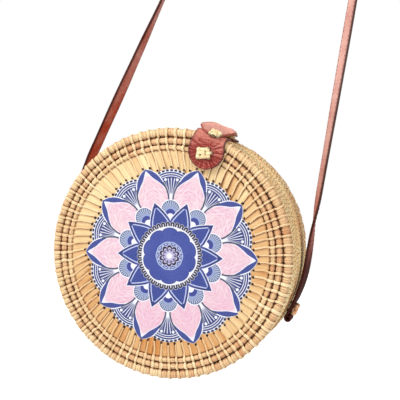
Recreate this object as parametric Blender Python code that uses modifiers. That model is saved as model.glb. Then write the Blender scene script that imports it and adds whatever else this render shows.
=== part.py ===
# Round rattan shoulder bag, built from its separate pieces.
#
# Two shallow woven halves close on each other like a clam shell. They are tied
# together at the bottom, held shut by a leather clasp at the top, and hang from
# a long leather strap whose ends are laced to the back half.
#
# Units are metres. The world's origin is the underside of the strap's crown,
# where a hook or a shoulder carries it. Pieces of the bag are drawn in the bag's
# own frame: X across, Y from the front face to the back, Z up through the clasp,
# with the origin on the bag's axis in the plane of the front face.

import math

import bmesh
import bpy
from mathutils import Matrix, Vector


# Clearance between neighbours that don't move on each other, and the length by
# which a cutter runs past what it cuts
gap = 0.0003
overrun = 0.002
weld_distance = 0.00001

# The two halves
bag_radius = 0.100
front_depth = 0.0437
back_depth = 0.0357
wall_thickness = 0.0045
turn_steps = 40

# Three coiled rows around each face, from the outside in
outer_row_width = 0.00695
outer_row_depth = 0.0076
middle_row_width = 0.0054
middle_row_depth = 0.0056
inner_row_width = 0.0044
inner_row_depth = 0.0050
row_sides = 8

# Woven faces: the front one sits a little below its rows, the back one stands
# just proud of them, so that the bag can lie flat on it
panel_thickness = 0.0040
front_panel_recess = 0.0010
back_row_recess = 0.0004

# Coiled walls between the face rows and the mouth
front_wall_rows = 6
back_wall_rows = 5
wall_groove = 0.0007
crown_start_share = 0.22
crown_end_share = 0.78

# Round hoops that stiffen the two mouths
hoop_radius = 0.0022

# Cloth lining inside each half
lining_thickness = 0.0008
lining_clearance = 0.0004
lining_chamfer = 0.0042
lining_lip = 0.0006

# Rattan ties at the bottom, which are the hinge between the halves
tie_wire_radius = 0.0010
tie_spacing = 0.0130
tie_play = 0.0003
tie_arc_points = 9

# Printed rosette on the front face, laid by hand a little off centre
print_tip_margin = 0.01035
print_valley_drop = 0.0060
print_fan_drop = 0.0030
print_valley_share = 0.5
print_side_shift = 0.0020
print_drop = 0.0008
print_turn = math.radians(-2.25)
print_petals = 10
print_thickness = 0.0003
print_points_per_petal = 12

# Leather and rattan lacing
leather_thickness = 0.0018
knot_width = 0.0140
knot_height = 0.0110
knot_thickness = 0.0022
knot_rounding = 0.0009
lace_radius = 0.0011
lace_spread = 0.0040
lace_sides = 8
inner_bar_thickness = 0.0016
inner_bar_height = 0.0032
lace_margin = 0.0005

# Shoulder strap
strap_width = 0.0140
strap_thickness = 0.0022
strap_end_margin = 0.0012
strap_lean = math.radians(8.4)
crown_radius = 0.0300
left_strand_play = 0.0125
right_strand_play = 0.0008
left_strand_bow = math.radians(25)
right_strand_bow = 0.0
hang_tilt = math.radians(4.0)
strap_curve_length = 0.060
strap_curve_points = 9
crown_half_points = 7
strand_points = 10
swing_height = 0.0060

# Laced strap ends on the wall
strap_knot_margin = 0.0007
strap_tip_margin = 0.0012
curl_radius = 0.0027
curl_sweep = math.radians(230)
curl_points = 8
tab_arc_points = 8

# Clasp: round tab laced to the face through its inner row, with a broad neck
# over the rim
face_tab_rise = 0.00335
face_tab_radius = 0.0146
face_knot_rise = 0.0006
neck_width = 0.0240
rim_bend_points = 7
tab_sides = 24

# Clasp: dished disc laced on top of the rim
dish_position = 0.0112
dish_radius = 0.0142
dish_flat_radius = 0.0070
dish_rise = 0.0045
dish_profile_points = 4
neck_tail = 0.0070

# Clasp: flap that reaches over the mouth to the press stud
flap_root_width = 0.0130
flap_end_radius = 0.0070
flap_rise = 0.0006
flap_shoulder_share = 0.30
flap_drop_share = 0.86
flap_points = 9
stud_behind_mouth = 0.0080

# Clasp: leather pad on the back half, with its own lacing
back_pad_half_width = 0.0080
back_pad_front_margin = 0.0025
back_pad_knot_clearance = 0.0004
back_pad_tail = 0.0085
pad_arc_points = 7

# Press stud
stud_radius = 0.0048
stud_thickness = 0.0008
shank_radius = 0.0016
cap_radius = 0.0052
cap_thickness = 0.0012
stud_sides = 16

# Sizes that follow from the ones above: the halves
mouth_gap = 2 * gap
bag_depth = front_depth + mouth_gap + back_depth
middle_row_outside = bag_radius - outer_row_width - gap
inner_row_outside = middle_row_outside - middle_row_width - gap
panel_radius = inner_row_outside - inner_row_width - gap
wall_inside = bag_radius - wall_thickness
lining_outside = wall_inside - gap
lining_inside = lining_outside - lining_thickness
front_floor = max(middle_row_depth, front_panel_recess + panel_thickness) + lining_clearance
back_floor = max(back_row_recess + middle_row_depth, panel_thickness) + lining_clearance
facet_sag = lining_inside * (1 - math.cos(math.pi / turn_steps))
lined_wall = gap + wall_thickness + gap + lining_thickness + facet_sag
hoop_line = bag_radius - hoop_radius
front_hoop_y = front_depth - hoop_radius
back_hoop_y = front_depth + mouth_gap + hoop_radius
lid_point = Vector((0, front_hoop_y, -hoop_line))
print_tip_radius = panel_radius - print_tip_margin
print_valley_radius = print_tip_radius - print_valley_drop

# The clasp
hole_radius = lace_radius + gap
lace_reach = lining_thickness + lining_chamfer + lace_margin + inner_bar_height / 2
leather_foot = bag_radius + gap
leather_top = leather_foot + leather_thickness
inner_row_line = inner_row_outside - inner_row_width / 2
face_tab_height = inner_row_line + face_tab_rise
face_knot_height = inner_row_line + face_knot_rise
face_lace_height = math.sqrt(inner_row_line**2 - lace_spread**2)
rim_bend_radius = outer_row_depth / 2
dish_foot = leather_top + gap
dish_top = dish_foot + leather_thickness + dish_rise
flap_start = dish_position + dish_radius + gap
clasp_point = Vector((0, flap_start - gap / 2, dish_top))
stud_y = front_depth + mouth_gap + stud_behind_mouth
flap_end = stud_y + flap_end_radius
back_knot_y = flap_end + back_pad_knot_clearance + knot_height / 2

# The strap, and how the bag hangs in it
strap_depth_position = front_depth + mouth_gap + strap_end_margin + strap_width / 2
strap_line = bag_radius + gap + strap_thickness / 2
swing_point = Vector((0, strap_depth_position, swing_height))
strap_knot_height = swing_height - strap_width / 2 - gap - strap_knot_margin - knot_width / 2
strap_tip_height = strap_knot_height - knot_width / 2 - strap_tip_margin
left_reach = (strap_line + left_strand_play) / math.cos(strap_lean)
right_reach = (strap_line + right_strand_play) / math.cos(strap_lean)
strap_half_spread = (left_reach + right_reach) / 2
bag_sideways = (left_reach - right_reach) / 2
crown_drop = crown_radius - strap_thickness / 2
strand_rise = (strap_half_spread * math.cos(strap_lean) - crown_radius) / math.sin(strap_lean)
bag_drop = crown_drop + strand_rise

# Frames of a flat outline: the plane that it is drawn in, then the way it is
# extruded. Rows are the bag's X, Y and Z.
side_plane = Matrix(((0, 0, 1, 0), (1, 0, 0, 0), (0, 1, 0, 0), (0, 0, 0, 1)))
face_plane = Matrix(((1, 0, 0, 0), (0, 0, -1, 0), (0, 1, 0, 0), (0, 0, 0, 1)))
plan_plane = Matrix.Identity(4)


# The scene, its collections and its bodies

for old in list(bpy.data.objects):
    bpy.data.objects.remove(old, do_unlink=True)

scene = bpy.context.scene
bag = bpy.data.collections.new("rattan_shoulder_bag")
scene.collection.children.link(bag)
tools = bpy.data.collections.new("cutters")
scene.collection.children.link(tools)


def body(name, point, parent):
    """An empty on the joint of a moving group, at a point in the bag's frame."""
    empty = bpy.data.objects.new(name, None)
    bag.objects.link(empty)
    empty.parent = parent
    empty.location = point - Vector(parent.get("joint_point", (0, 0, 0))) if parent else point
    empty["joint_point"] = tuple(point)
    return empty


hang = bpy.data.objects.new("hang", None)
bag.objects.link(hang)
hang.location = (bag_sideways, -strap_depth_position, -bag_drop)
hang.rotation_euler = (0, hang_tilt, 0)
back_shell = body("back_shell", swing_point, hang)
front_shell = body("front_shell", lid_point, back_shell)
clasp = body("clasp", clasp_point, front_shell)


def material(name, colour, roughness, metallic=0.0):
    """A plain Principled material."""
    made = bpy.data.materials.new(name)
    made.use_nodes = True
    shader = made.node_tree.nodes["Principled BSDF"]
    shader.inputs["Base Color"].default_value = (*colour, 1)
    shader.inputs["Roughness"].default_value = roughness
    shader.inputs["Metallic"].default_value = metallic
    return made


rattan_colour = (0.80, 0.60, 0.34)
binding_colour = (0.86, 0.68, 0.42)
leather_colour = (0.36, 0.085, 0.035)
lining_colour = (0.72, 0.63, 0.50)
print_colour = (0.09, 0.10, 0.42)
brass_colour = (0.72, 0.52, 0.25)


def finish(made, owner, colour, roughness=0.6, metallic=0.0):
    """Hang a piece on its body and give it its own material."""
    made.parent = owner
    made.location = -Vector(owner.get("joint_point", (0, 0, 0)))
    made.data.materials.clear()
    made.data.materials.append(material(made.name, colour, roughness, metallic))
    return made


# Shapes

def link(name, mesh):
    """A new object in the bag's collection."""
    made = bpy.data.objects.new(name, mesh)
    bag.objects.link(made)
    return made


def smooth(made, angle=math.radians(40)):
    """Round surfaces are shaded smooth, with their real edges kept sharp."""
    made.data.shade_smooth()
    made.data.set_sharp_from_angle(angle=angle)
    return made


def turned(name, profile):
    """Turn a profile of (radius, depth) points about the bag's axis. A profile
    that starts and ends on the axis stays open there, any other is a loop."""
    mesh = bpy.data.meshes.new(name)
    points = [(radius, 0, depth) for radius, depth in profile]
    edges = [(i, i + 1) for i in range(len(points) - 1)]
    if profile[0][0] > 0:
        edges.append((len(points) - 1, 0))
    mesh.from_pydata(points, edges, [])
    made = link(name, mesh)
    screw = made.modifiers.new("turn", "SCREW")
    screw.axis = "Z"
    screw.steps = turn_steps
    screw.render_steps = turn_steps
    screw.use_merge_vertices = True
    screw.merge_threshold = weld_distance
    screw.use_smooth_shade = True
    made.rotation_euler = (math.radians(-90), 0, 0)
    return made


def from_back(profile):
    """The same profile measured from the back face, running the other way."""
    return [(radius, bag_depth - depth) for radius, depth in reversed(profile)]


def ring_profile(line, depth, width, height):
    """An oval section around a centre line, run clockwise from its top."""
    points = []
    for i in range(row_sides):
        turn = 2 * math.pi * (i + 0.5) / row_sides
        points.append((line + math.sin(turn) * width / 2, depth + math.cos(turn) * height / 2))
    return points


def as_mesh(made, plane):
    """Weld a curve object's mesh and lay it in its plane of the bag."""
    evaluated = made.evaluated_get(bpy.context.evaluated_depsgraph_get())
    mesh = bpy.data.meshes.new_from_object(evaluated)
    name = made.name
    bpy.data.objects.remove(made, do_unlink=True)
    mesh.transform(plane)
    work = bmesh.new()
    work.from_mesh(mesh)
    bmesh.ops.remove_doubles(work, verts=work.verts, dist=weld_distance)
    bmesh.ops.recalc_face_normals(work, faces=work.faces)
    work.to_mesh(mesh)
    work.free()
    return link(name, mesh)


def extruded(name, outline, half_length, plane):
    """A flat outline of (u, v) points, extruded both ways out of its plane."""
    curve = bpy.data.curves.new(name, "CURVE")
    curve.dimensions = "2D"
    curve.fill_mode = "BOTH"
    curve.extrude = half_length
    line = curve.splines.new("POLY")
    line.points.add(len(outline) - 1)
    for point, (u, v) in zip(line.points, outline):
        point.co = (u, v, 0, 1)
    line.use_cyclic_u = True
    return as_mesh(link(name, curve), plane)


def wire(name, path, radius, closed):
    """A round wire along a list of points."""
    curve = bpy.data.curves.new(name, "CURVE")
    curve.dimensions = "3D"
    curve.bevel_depth = radius
    curve.bevel_resolution = 2
    curve.use_fill_caps = not closed
    line = curve.splines.new("POLY")
    line.points.add(len(path) - 1)
    for point, place in zip(line.points, path):
        point.co = (*place, 1)
    line.use_cyclic_u = closed
    return as_mesh(link(name, curve), Matrix.Identity(4))


def cylinder(name, radius, length, plane, centre, sides=tab_sides):
    """A cylinder whose axis is the way that its plane is extruded."""
    mesh = bpy.data.meshes.new(name)
    work = bmesh.new()
    bmesh.ops.create_cone(work, cap_ends=True, segments=sides,
                          radius1=radius, radius2=radius, depth=length)
    work.to_mesh(mesh)
    work.free()
    mesh.transform(Matrix.Translation(centre) @ plane)
    return link(name, mesh)


def box(name, size, centre):
    """A rectangular block."""
    mesh = bpy.data.meshes.new(name)
    work = bmesh.new()
    bmesh.ops.create_cube(work, size=1)
    bmesh.ops.scale(work, vec=size, verts=work.verts)
    work.to_mesh(mesh)
    work.free()
    mesh.transform(Matrix.Translation(centre))
    return link(name, mesh)


def boolean(target, other, operation):
    """Join or cut with another solid, which is kept only as a cutter."""
    change = target.modifiers.new(operation.lower(), "BOOLEAN")
    change.operation = operation
    change.solver = "EXACT"
    change.object = other
    other.hide_render = True
    other.display_type = "WIRE"
    bag.objects.unlink(other)
    tools.objects.link(other)


def hung(guide, owner):
    """Give a cutter the place of the body that it works on."""
    guide.parent = owner
    guide.location = -Vector(owner.get("joint_point", (0, 0, 0)))
    return guide


def arc(centre, radius, start, sweep, count):
    """Points along an arc in a plane, with both ends."""
    points = []
    for i in range(count):
        turn = start + sweep * i / (count - 1)
        points.append((centre[0] + radius * math.cos(turn), centre[1] + radius * math.sin(turn)))
    return points


def band(path, thickness):
    """The outline of a strip of even thickness along a path of (u, v) points."""
    left, right = [], []
    for i, (u, v) in enumerate(path):
        before = path[max(i - 1, 0)]
        after = path[min(i + 1, len(path) - 1)]
        run_u, run_v = after[0] - before[0], after[1] - before[1]
        length = math.hypot(run_u, run_v)
        shift_u, shift_v = -run_v / length * thickness / 2, run_u / length * thickness / 2
        left.append((u + shift_u, v + shift_v))
        right.append((u - shift_u, v - shift_v))
    return left + right[::-1]


def blend_curve(start, start_way, end, end_way, count):
    """A smooth curve between two points that leaves and arrives along two
    ways, each as long as the curve's pull at that end."""
    points = []
    for i in range(count):
        t = i / (count - 1)
        a, b = 2 * t**3 - 3 * t**2 + 1, t**3 - 2 * t**2 + t
        c, d = 3 * t**2 - 2 * t**3, t**3 - t**2
        points.append(tuple(a * start[k] + b * start_way[k] + c * end[k] + d * end_way[k]
                            for k in (0, 1)))
    return points


# Faces, rows, walls, mouth hoops and linings of the two halves

def build_half(side, owner, depth, row_recess, panel_start, floor, wall_rows, measured):
    """One half of the bag, measured from its own face. The back half's profiles
    are turned round with from_back."""

    def add(name, profile, colour, roughness=0.6):
        return finish(turned(side + "_" + name, measured(profile)), owner, colour, roughness)

    panel_end = panel_start + panel_thickness
    add("panel", [(0, panel_end), (panel_radius, panel_end), (panel_radius, panel_start),
                  (0, panel_start)], rattan_colour)
    rows = (("ring_inner", inner_row_outside, inner_row_width, inner_row_depth),
            ("ring_middle", middle_row_outside, middle_row_width, middle_row_depth),
            ("ring_outer", bag_radius, outer_row_width, outer_row_depth))
    pieces = {}
    for name, outside, width, thick in rows:
        centre = outside - width / 2
        profile = ring_profile(centre, row_recess + thick / 2, width, thick)
        pieces[name] = add(name, profile, binding_colour)

    wall_start = row_recess + outer_row_depth + gap
    wall_end = depth - 2 * hoop_radius - gap
    pitch = (wall_end - wall_start) / wall_rows
    outer = [(bag_radius - wall_groove, wall_end)]
    for row in reversed(range(wall_rows)):
        low = wall_start + row * pitch
        outer.append((bag_radius, low + pitch * crown_end_share))
        outer.append((bag_radius, low + pitch * crown_start_share))
        outer.append((bag_radius - wall_groove, low))
    pieces["wall"] = add("wall", [(wall_inside, wall_start), (wall_inside, wall_end)] + outer, rattan_colour)

    add("mouth_hoop", ring_profile(hoop_line, depth - hoop_radius, 2 * hoop_radius, 2 * hoop_radius),
        rattan_colour)

    lip = depth - lining_lip
    pieces["lining"] = add("lining", [
        (0, floor + lining_thickness),
        (lining_inside - lining_chamfer, floor + lining_thickness),
        (lining_inside, floor + lining_thickness + lining_chamfer),
        (lining_inside, lip),
        (lining_outside, lip),
        (lining_outside, floor + lining_chamfer),
        (lining_outside - lining_chamfer, floor),
        (0, floor)], lining_colour, 0.9)
    return pieces


front = build_half("front", front_shell, front_depth, 0, front_panel_recess, front_floor,
                   front_wall_rows, list)
back = build_half("back", back_shell, back_depth, back_row_recess, 0, back_floor,
                  back_wall_rows, from_back)


# Rattan ties at the bottom. Each loops round both mouth hoops; its front arc is
# centred on the front hoop, which turns inside it.

eccentricity = hoop_line - math.sqrt(hoop_line**2 - (tie_spacing + tie_wire_radius) ** 2)
tie_line_radius = hoop_radius + eccentricity + tie_play + tie_wire_radius

for side, sign in (("left", -1), ("right", 1)):
    front_arc = arc((front_hoop_y, -hoop_line), tie_line_radius, math.pi / 2, math.pi, tie_arc_points)
    back_arc = arc((back_hoop_y, -hoop_line), tie_line_radius, -math.pi / 2, math.pi, tie_arc_points)
    path = [(sign * tie_spacing, y, z) for y, z in front_arc + back_arc]
    tie = wire("hinge_tie_" + side, path, tie_wire_radius, True)
    finish(smooth(tie), back_shell, rattan_colour)

slot_reach = tie_line_radius + tie_wire_radius + gap
slot_width = 2 * (tie_wire_radius + gap)
slot_height = 2 * slot_reach + overrun
for side, half, owner, start, end in (
        ("front", front, front_shell, front_hoop_y - slot_reach, front_depth + overrun),
        ("back", back, back_shell, front_depth - overrun, back_hoop_y + slot_reach)):
    for sign in (-1, 1):
        size = (slot_width, end - start, slot_height)
        centre = (sign * tie_spacing, (start + end) / 2, -hoop_line)
        for piece in ("wall", "lining"):
            slot = box(side + "_tie_slot", size, centre)
            boolean(half[piece], hung(slot, owner), "DIFFERENCE")


# Printed rosette, a thin sheet on the front face: pointed petals with a round
# fan between each two


def print_reach(from_tip):
    """The outline's radius, from 0 on a petal's tip to 1 in a fan's middle."""
    if from_tip < print_valley_share:
        share = 1 - from_tip / print_valley_share
        return print_valley_radius + print_valley_drop * share
    share = (1 - from_tip) / (1 - print_valley_share)
    return print_valley_radius + (print_valley_drop - print_fan_drop) * (1 - share**2)


print_start = front_panel_recess - gap - print_thickness
outline = []
for i in range(print_petals * print_points_per_petal):
    phase = i / print_points_per_petal
    reach = print_reach(2 * abs(phase - round(phase)))
    turn = 2 * math.pi * phase / print_petals + print_turn
    outline.append((reach * math.sin(turn), reach * math.cos(turn)))
print_centre = (print_side_shift, print_start + print_thickness / 2, -print_drop)
rosette = extruded("mandala_print", outline, print_thickness / 2, face_plane)
rosette.data.transform(Matrix.Translation(print_centre))
finish(rosette, front_shell, print_colour, 0.8)


# Rattan lacing: a woven knot outside, two lace legs through what it holds and a
# bar inside. Its frame has X along the knot, Y up it and Z away from the bag.

def lacing(name, frame, depth, owner, shift=0.0):
    """A knot on a surface, with legs that reach through the given depth."""
    def part(made):
        made.data.transform(frame)
        return hung(made, owner)

    pad_centre = (0, 0, gap + knot_thickness / 2)
    knot = part(box(name, (knot_width, knot_height, knot_thickness), pad_centre))
    rounding = knot.modifiers.new("rounding", "BEVEL")
    rounding.width = knot_rounding
    rounding.segments = 2
    legs_top = gap + knot_thickness / 2
    legs_bottom = -depth - gap - inner_bar_thickness / 2
    for sign in (-1, 1):
        centre = (sign * lace_spread, shift, (legs_top + legs_bottom) / 2)
        leg = part(cylinder(name + "_leg", lace_radius, legs_top - legs_bottom, plan_plane, centre,
                            sides=lace_sides))
        boolean(knot, leg, "UNION")
    bar_size = (2 * lace_spread + inner_bar_height, inner_bar_height, inner_bar_thickness)
    bar = part(box(name + "_bar", bar_size, (0, shift, -depth - gap - inner_bar_thickness / 2)))
    boolean(knot, bar, "UNION")
    return finish(knot, owner, binding_colour)


def lace_holes(name, frame, depth, target, owner, shift=0.0):
    """Holes for the two legs of a lacing through one piece."""
    for sign in (-1, 1):
        hole = cylinder(name + "_hole", hole_radius, 2 * (depth + overrun), plan_plane,
                        (sign * lace_spread, shift, 0), sides=lace_sides)
        hole.data.transform(frame)
        boolean(target, hung(hole, owner), "DIFFERENCE")


# Clasp tab: a disc on the front face, cut off where it bends, a neck over the
# rim and a tail on the wall

face_line = -gap - leather_thickness / 2
bend_line = rim_bend_radius + leather_thickness / 2
bend_centre = (face_line + bend_line, leather_foot + leather_thickness / 2 - bend_line)
tail_end = dish_position + neck_tail
neck_path = [(face_line, face_tab_height)]
neck_path += arc(bend_centre, bend_line, math.pi, -math.pi / 2, rim_bend_points)
neck_path.append((tail_end, leather_foot + leather_thickness / 2))
neck = extruded("clasp_front_tab", band(neck_path, leather_thickness), neck_width / 2, side_plane)
disc_cut = math.asin((bend_centre[1] - face_tab_height) / face_tab_radius)
disc_outline = arc((0, face_tab_height), face_tab_radius, math.pi - disc_cut, math.pi + 2 * disc_cut,
                   tab_sides + 1)
disc = extruded("face_disc", disc_outline, leather_thickness / 2, face_plane)
disc.data.transform(Matrix.Translation((0, face_line, 0)))
hung(disc, front_shell)
boolean(neck, disc, "UNION")
finish(neck, front_shell, leather_colour)

face_frame = Matrix.Translation((0, -gap - leather_thickness, face_knot_height)) @ face_plane
face_depth = leather_thickness + gap + front_floor + lining_thickness
face_lace_shift = face_lace_height - face_knot_height
lacing("clasp_front_knot", face_frame, face_depth, front_shell, face_lace_shift)
for piece in (neck, front["ring_inner"], front["lining"]):
    lace_holes("face", face_frame, face_depth, piece, front_shell, face_lace_shift)


# Clasp dish: a disc laced on top of the rim, its edge curling up all round

def dish_outline():
    """The dish's section from its centre: flat, then rising along a curve."""
    top, foot = [(0, dish_foot + leather_thickness)], [(0, dish_foot)]
    for i in range(dish_profile_points + 1):
        share = i / dish_profile_points
        reach = dish_flat_radius + (dish_radius - dish_flat_radius) * share
        rise = dish_rise * (1 - math.cos(share * math.pi / 2))
        top.append((reach, dish_foot + leather_thickness + rise))
        foot.append((reach, dish_foot + rise))
    return top + foot[::-1]


dish = turned("clasp_top_tab", dish_outline())
dish.modifiers["turn"].steps = tab_sides
dish.modifiers["turn"].render_steps = tab_sides
dish.rotation_euler = (0, 0, 0)
finish(dish, front_shell, leather_colour)
dish.location += Vector((0, dish_position, 0))

dish_lace_shift = front_floor + lace_reach - dish_position
rim_frame = Matrix.Translation((0, dish_position, dish_foot + leather_thickness)) @ plan_plane
wall_depth = leather_thickness + gap + leather_thickness + lined_wall
lacing("clasp_top_knot", rim_frame, wall_depth, front_shell, dish_lace_shift)
for piece in (dish, neck, front["wall"], front["lining"]):
    lace_holes("rim", rim_frame, wall_depth, piece, front_shell, dish_lace_shift)


# Clasp flap: from the dish's back edge over the mouth to the press stud

stud_foot = leather_top + gap
socket_foot = stud_foot + stud_thickness + gap
flap_seat = socket_foot + stud_thickness + gap
flap_top_line = dish_top - leather_thickness / 2
flap_seat_line = flap_seat + leather_thickness / 2
flap_run = stud_y - stud_radius - flap_start
flap_path = [(flap_start, flap_top_line)]
flap_path += blend_curve((flap_start + flap_run * flap_shoulder_share, flap_top_line + flap_rise),
                         (flap_run * flap_shoulder_share, 0),
                         (flap_start + flap_run * flap_drop_share, flap_seat_line),
                         (flap_run * flap_shoulder_share, 0), flap_points)
flap_path.append((flap_end, flap_seat_line))
flap = extruded("clasp_flap", band(flap_path, leather_thickness), flap_end_radius, side_plane)

flap_half = flap_root_width / 2
plan = [(-flap_half, flap_start - overrun), (flap_half, flap_start - overrun)]
plan += arc((0, stud_y), flap_end_radius, 0, math.pi, tab_sides // 2 + 1)
flap_plan = extruded("flap_plan", plan, dish_top, plan_plane)
boolean(flap, hung(flap_plan, clasp), "INTERSECT")
finish(flap, clasp, leather_colour)


# Press stud: a ball half riveted to the back pad, a cup half to the flap

def stud_half(name, layers, owner):
    """Discs of one stud half on one axis, given as (radius, foot, top)."""
    made = None
    for i, (radius, foot, top) in enumerate(layers):
        layer = cylinder(name if i == 0 else name + "_layer", radius, top - foot, plan_plane,
                         (0, stud_y, (foot + top) / 2), sides=stud_sides)
        hung(layer, owner)
        if made is None:
            made = layer
        else:
            boolean(made, layer, "UNION")
    return finish(smooth(made), owner, brass_colour, 0.3, 1.0)


flap_top = flap_seat + leather_thickness
cap_foot = flap_top + gap
stud_half("snap_socket", ((stud_radius, socket_foot, socket_foot + stud_thickness),
                          (shank_radius, socket_foot + stud_thickness / 2, cap_foot + cap_thickness / 2),
                          (cap_radius, cap_foot, cap_foot + cap_thickness)), clasp)
stud_half("snap_stud", ((stud_radius, stud_foot, stud_foot + stud_thickness),
                        (shank_radius, leather_foot + gap, stud_foot + stud_thickness / 2)), back_shell)


def stud_hole(name, target, owner):
    """The hole for a stud half's shank through leather."""
    hole = cylinder(name, shank_radius + gap, bag_radius, plan_plane, (0, stud_y, dish_top),
                    sides=stud_sides)
    boolean(target, hung(hole, owner), "DIFFERENCE")


stud_hole("flap_stud_hole", flap, clasp)


# Clasp pad on the back half: a strip with round ends that lies along the wall

def wall_angle(width):
    """The angle on the wall that a width across it takes."""
    return width / leather_foot


pad_line = leather_foot + leather_thickness / 2
half_angle = wall_angle(back_pad_half_width)
pad_start = front_depth + mouth_gap + back_pad_front_margin
pad_end = back_knot_y + back_pad_tail
pad_path = arc((0, 0), pad_line, math.pi / 2 + half_angle, -2 * half_angle, pad_arc_points)
pad = extruded("clasp_back_tab", band(pad_path, leather_thickness), (pad_end - pad_start) / 2, face_plane)
pad.data.transform(Matrix.Translation((0, (pad_start + pad_end) / 2, 0)))

plan = arc((0, pad_start + back_pad_half_width), back_pad_half_width, math.pi, math.pi, tab_sides // 2 + 1)
plan += arc((0, pad_end - back_pad_half_width), back_pad_half_width, 0, math.pi, tab_sides // 2 + 1)
pad_plan = extruded("pad_plan", plan, dish_top, plan_plane)
boolean(pad, hung(pad_plan, back_shell), "INTERSECT")
finish(pad, back_shell, leather_colour)
stud_hole("pad_stud_hole", pad, back_shell)

pad_lace_shift = bag_depth - back_floor - lace_reach - back_knot_y
pad_frame = Matrix.Translation((0, back_knot_y, leather_top)) @ plan_plane
pad_depth = leather_thickness + lined_wall
lacing("clasp_back_knot", pad_frame, pad_depth, back_shell, pad_lace_shift)
for piece in (pad, back["wall"], back["lining"]):
    lace_holes("pad", pad_frame, pad_depth, piece, back_shell, pad_lace_shift)


# Strap ends, laced to the wall on both sides, their tips curling outwards

def strap_end(side, sign):
    """A leather end that lies on the wall below the strap's swing point."""
    start_angle = math.asin(swing_height / strap_line)
    tip_angle = math.asin(strap_tip_height / strap_line)
    path = arc((0, 0), strap_line, start_angle, tip_angle - start_angle, tab_arc_points)
    tip = path.pop()
    curl_reach = strap_line + curl_radius
    curl_centre = (curl_reach * math.cos(tip_angle), curl_reach * math.sin(tip_angle))
    path += arc(curl_centre, curl_radius, math.pi + tip_angle, curl_sweep, curl_points)
    outline = [(sign * x, z) for x, z in band(path, strap_thickness)]
    end = extruded("strap_end_" + side, outline, strap_width / 2, face_plane)
    end.data.transform(Matrix.Translation((0, strap_depth_position, 0)))
    finish(end, back_shell, leather_colour)

    socket = cylinder("swing_socket", strap_width / 2 + gap, strap_width, side_plane,
                      (sign * strap_line, strap_depth_position, swing_height))
    boolean(end, hung(socket, back_shell), "DIFFERENCE")

    knot_angle = math.asin(strap_knot_height / strap_line)
    outside = (sign * (strap_line + strap_thickness / 2), strap_depth_position, 0)
    outward = Matrix(((0, 0, sign, 0), (0, -sign, 0, 0), (1, 0, 0, 0), (0, 0, 0, 1)))
    frame = Matrix.Rotation(-sign * knot_angle, 4, "Y") @ Matrix.Translation(outside) @ outward
    depth = strap_thickness + lined_wall
    lacing("strap_knot_" + side, frame, depth, back_shell)
    for piece in (end, back["wall"], back["lining"]):
        lace_holes("strap", frame, depth, piece, back_shell)


strap_end("left", -1)
strap_end("right", 1)


# Shoulder strap: one flat band from swing point to swing point, with straight
# strands that lean in to a round crown. Its path is drawn in the world's XZ
# plane, and its round ends turn in the hollows of the laced ends.

hang_place = Matrix.Translation(hang.location) @ Matrix.Rotation(hang_tilt, 4, "Y")


def strap_half_path(sign, bow):
    """One strand from its round end, past its swing point, to the top of the
    crown. Above the swing point it bows away from the wall by an angle."""
    foot = hang_place @ Vector((sign * strap_line, 0, swing_height))
    end = hang_place @ Vector((sign * strap_line, 0, swing_height - strap_width / 2))
    away = hang_place.to_3x3() @ Vector((sign * math.sin(bow), 0, math.cos(bow)))
    lean_way = Vector((-sign * math.sin(strap_lean), 0, math.cos(strap_lean)))
    shoulder = Vector((sign * crown_radius * math.cos(strap_lean), 0,
                       -crown_drop + crown_radius * math.sin(strap_lean)))
    straight = (shoulder.z - foot.z) / math.cos(strap_lean) - strap_curve_length
    knee = shoulder - lean_way * straight
    leave = away * strap_curve_length
    arrive = lean_way * strap_curve_length
    points = [(end.x, end.z)]
    points += blend_curve((foot.x, foot.z), (leave.x, leave.z), (knee.x, knee.z), (arrive.x, arrive.z),
                          strap_curve_points)
    for i in range(1, strand_points):
        place = knee + lean_way * straight * i / strand_points
        points.append((place.x, place.z))
    crown = arc((0, -crown_drop), crown_radius, strap_lean, math.pi / 2 - strap_lean, crown_half_points)
    points += [(sign * x, z) for x, z in crown]
    return points


right_half = strap_half_path(1, right_strand_bow)
left_half = strap_half_path(-1, left_strand_bow)
strap_path = right_half + left_half[-2::-1]
strap = extruded("shoulder_strap", band(strap_path, strap_thickness), strap_width / 2, face_plane)
strap.data.materials.append(material("shoulder_strap", leather_colour, 0.5))

ends = [(-strap_width / 2, bag_drop), (strap_width / 2, bag_drop)]
ends += arc((0, 0), strap_width / 2, 0, -math.pi, tab_sides // 2 + 1)
ends_guide = extruded("strap_ends_outline", ends, bag_drop, side_plane)
ends_guide.data.transform(Matrix.Translation(swing_point))
ends_guide.parent = hang
boolean(strap, ends_guide, "INTERSECT")
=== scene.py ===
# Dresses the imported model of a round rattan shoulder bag: coiled and stitched rattan, a printed
# rosette, laced leather and a cloth lining. Shapes are drawn in the bag's own frame in millimetres
# (x across, depth back from the front face, z up through the clasp) and hung in the room in metres.

import math
from collections import namedtuple

import bpy
import numpy as np
from mathutils import Matrix


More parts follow.
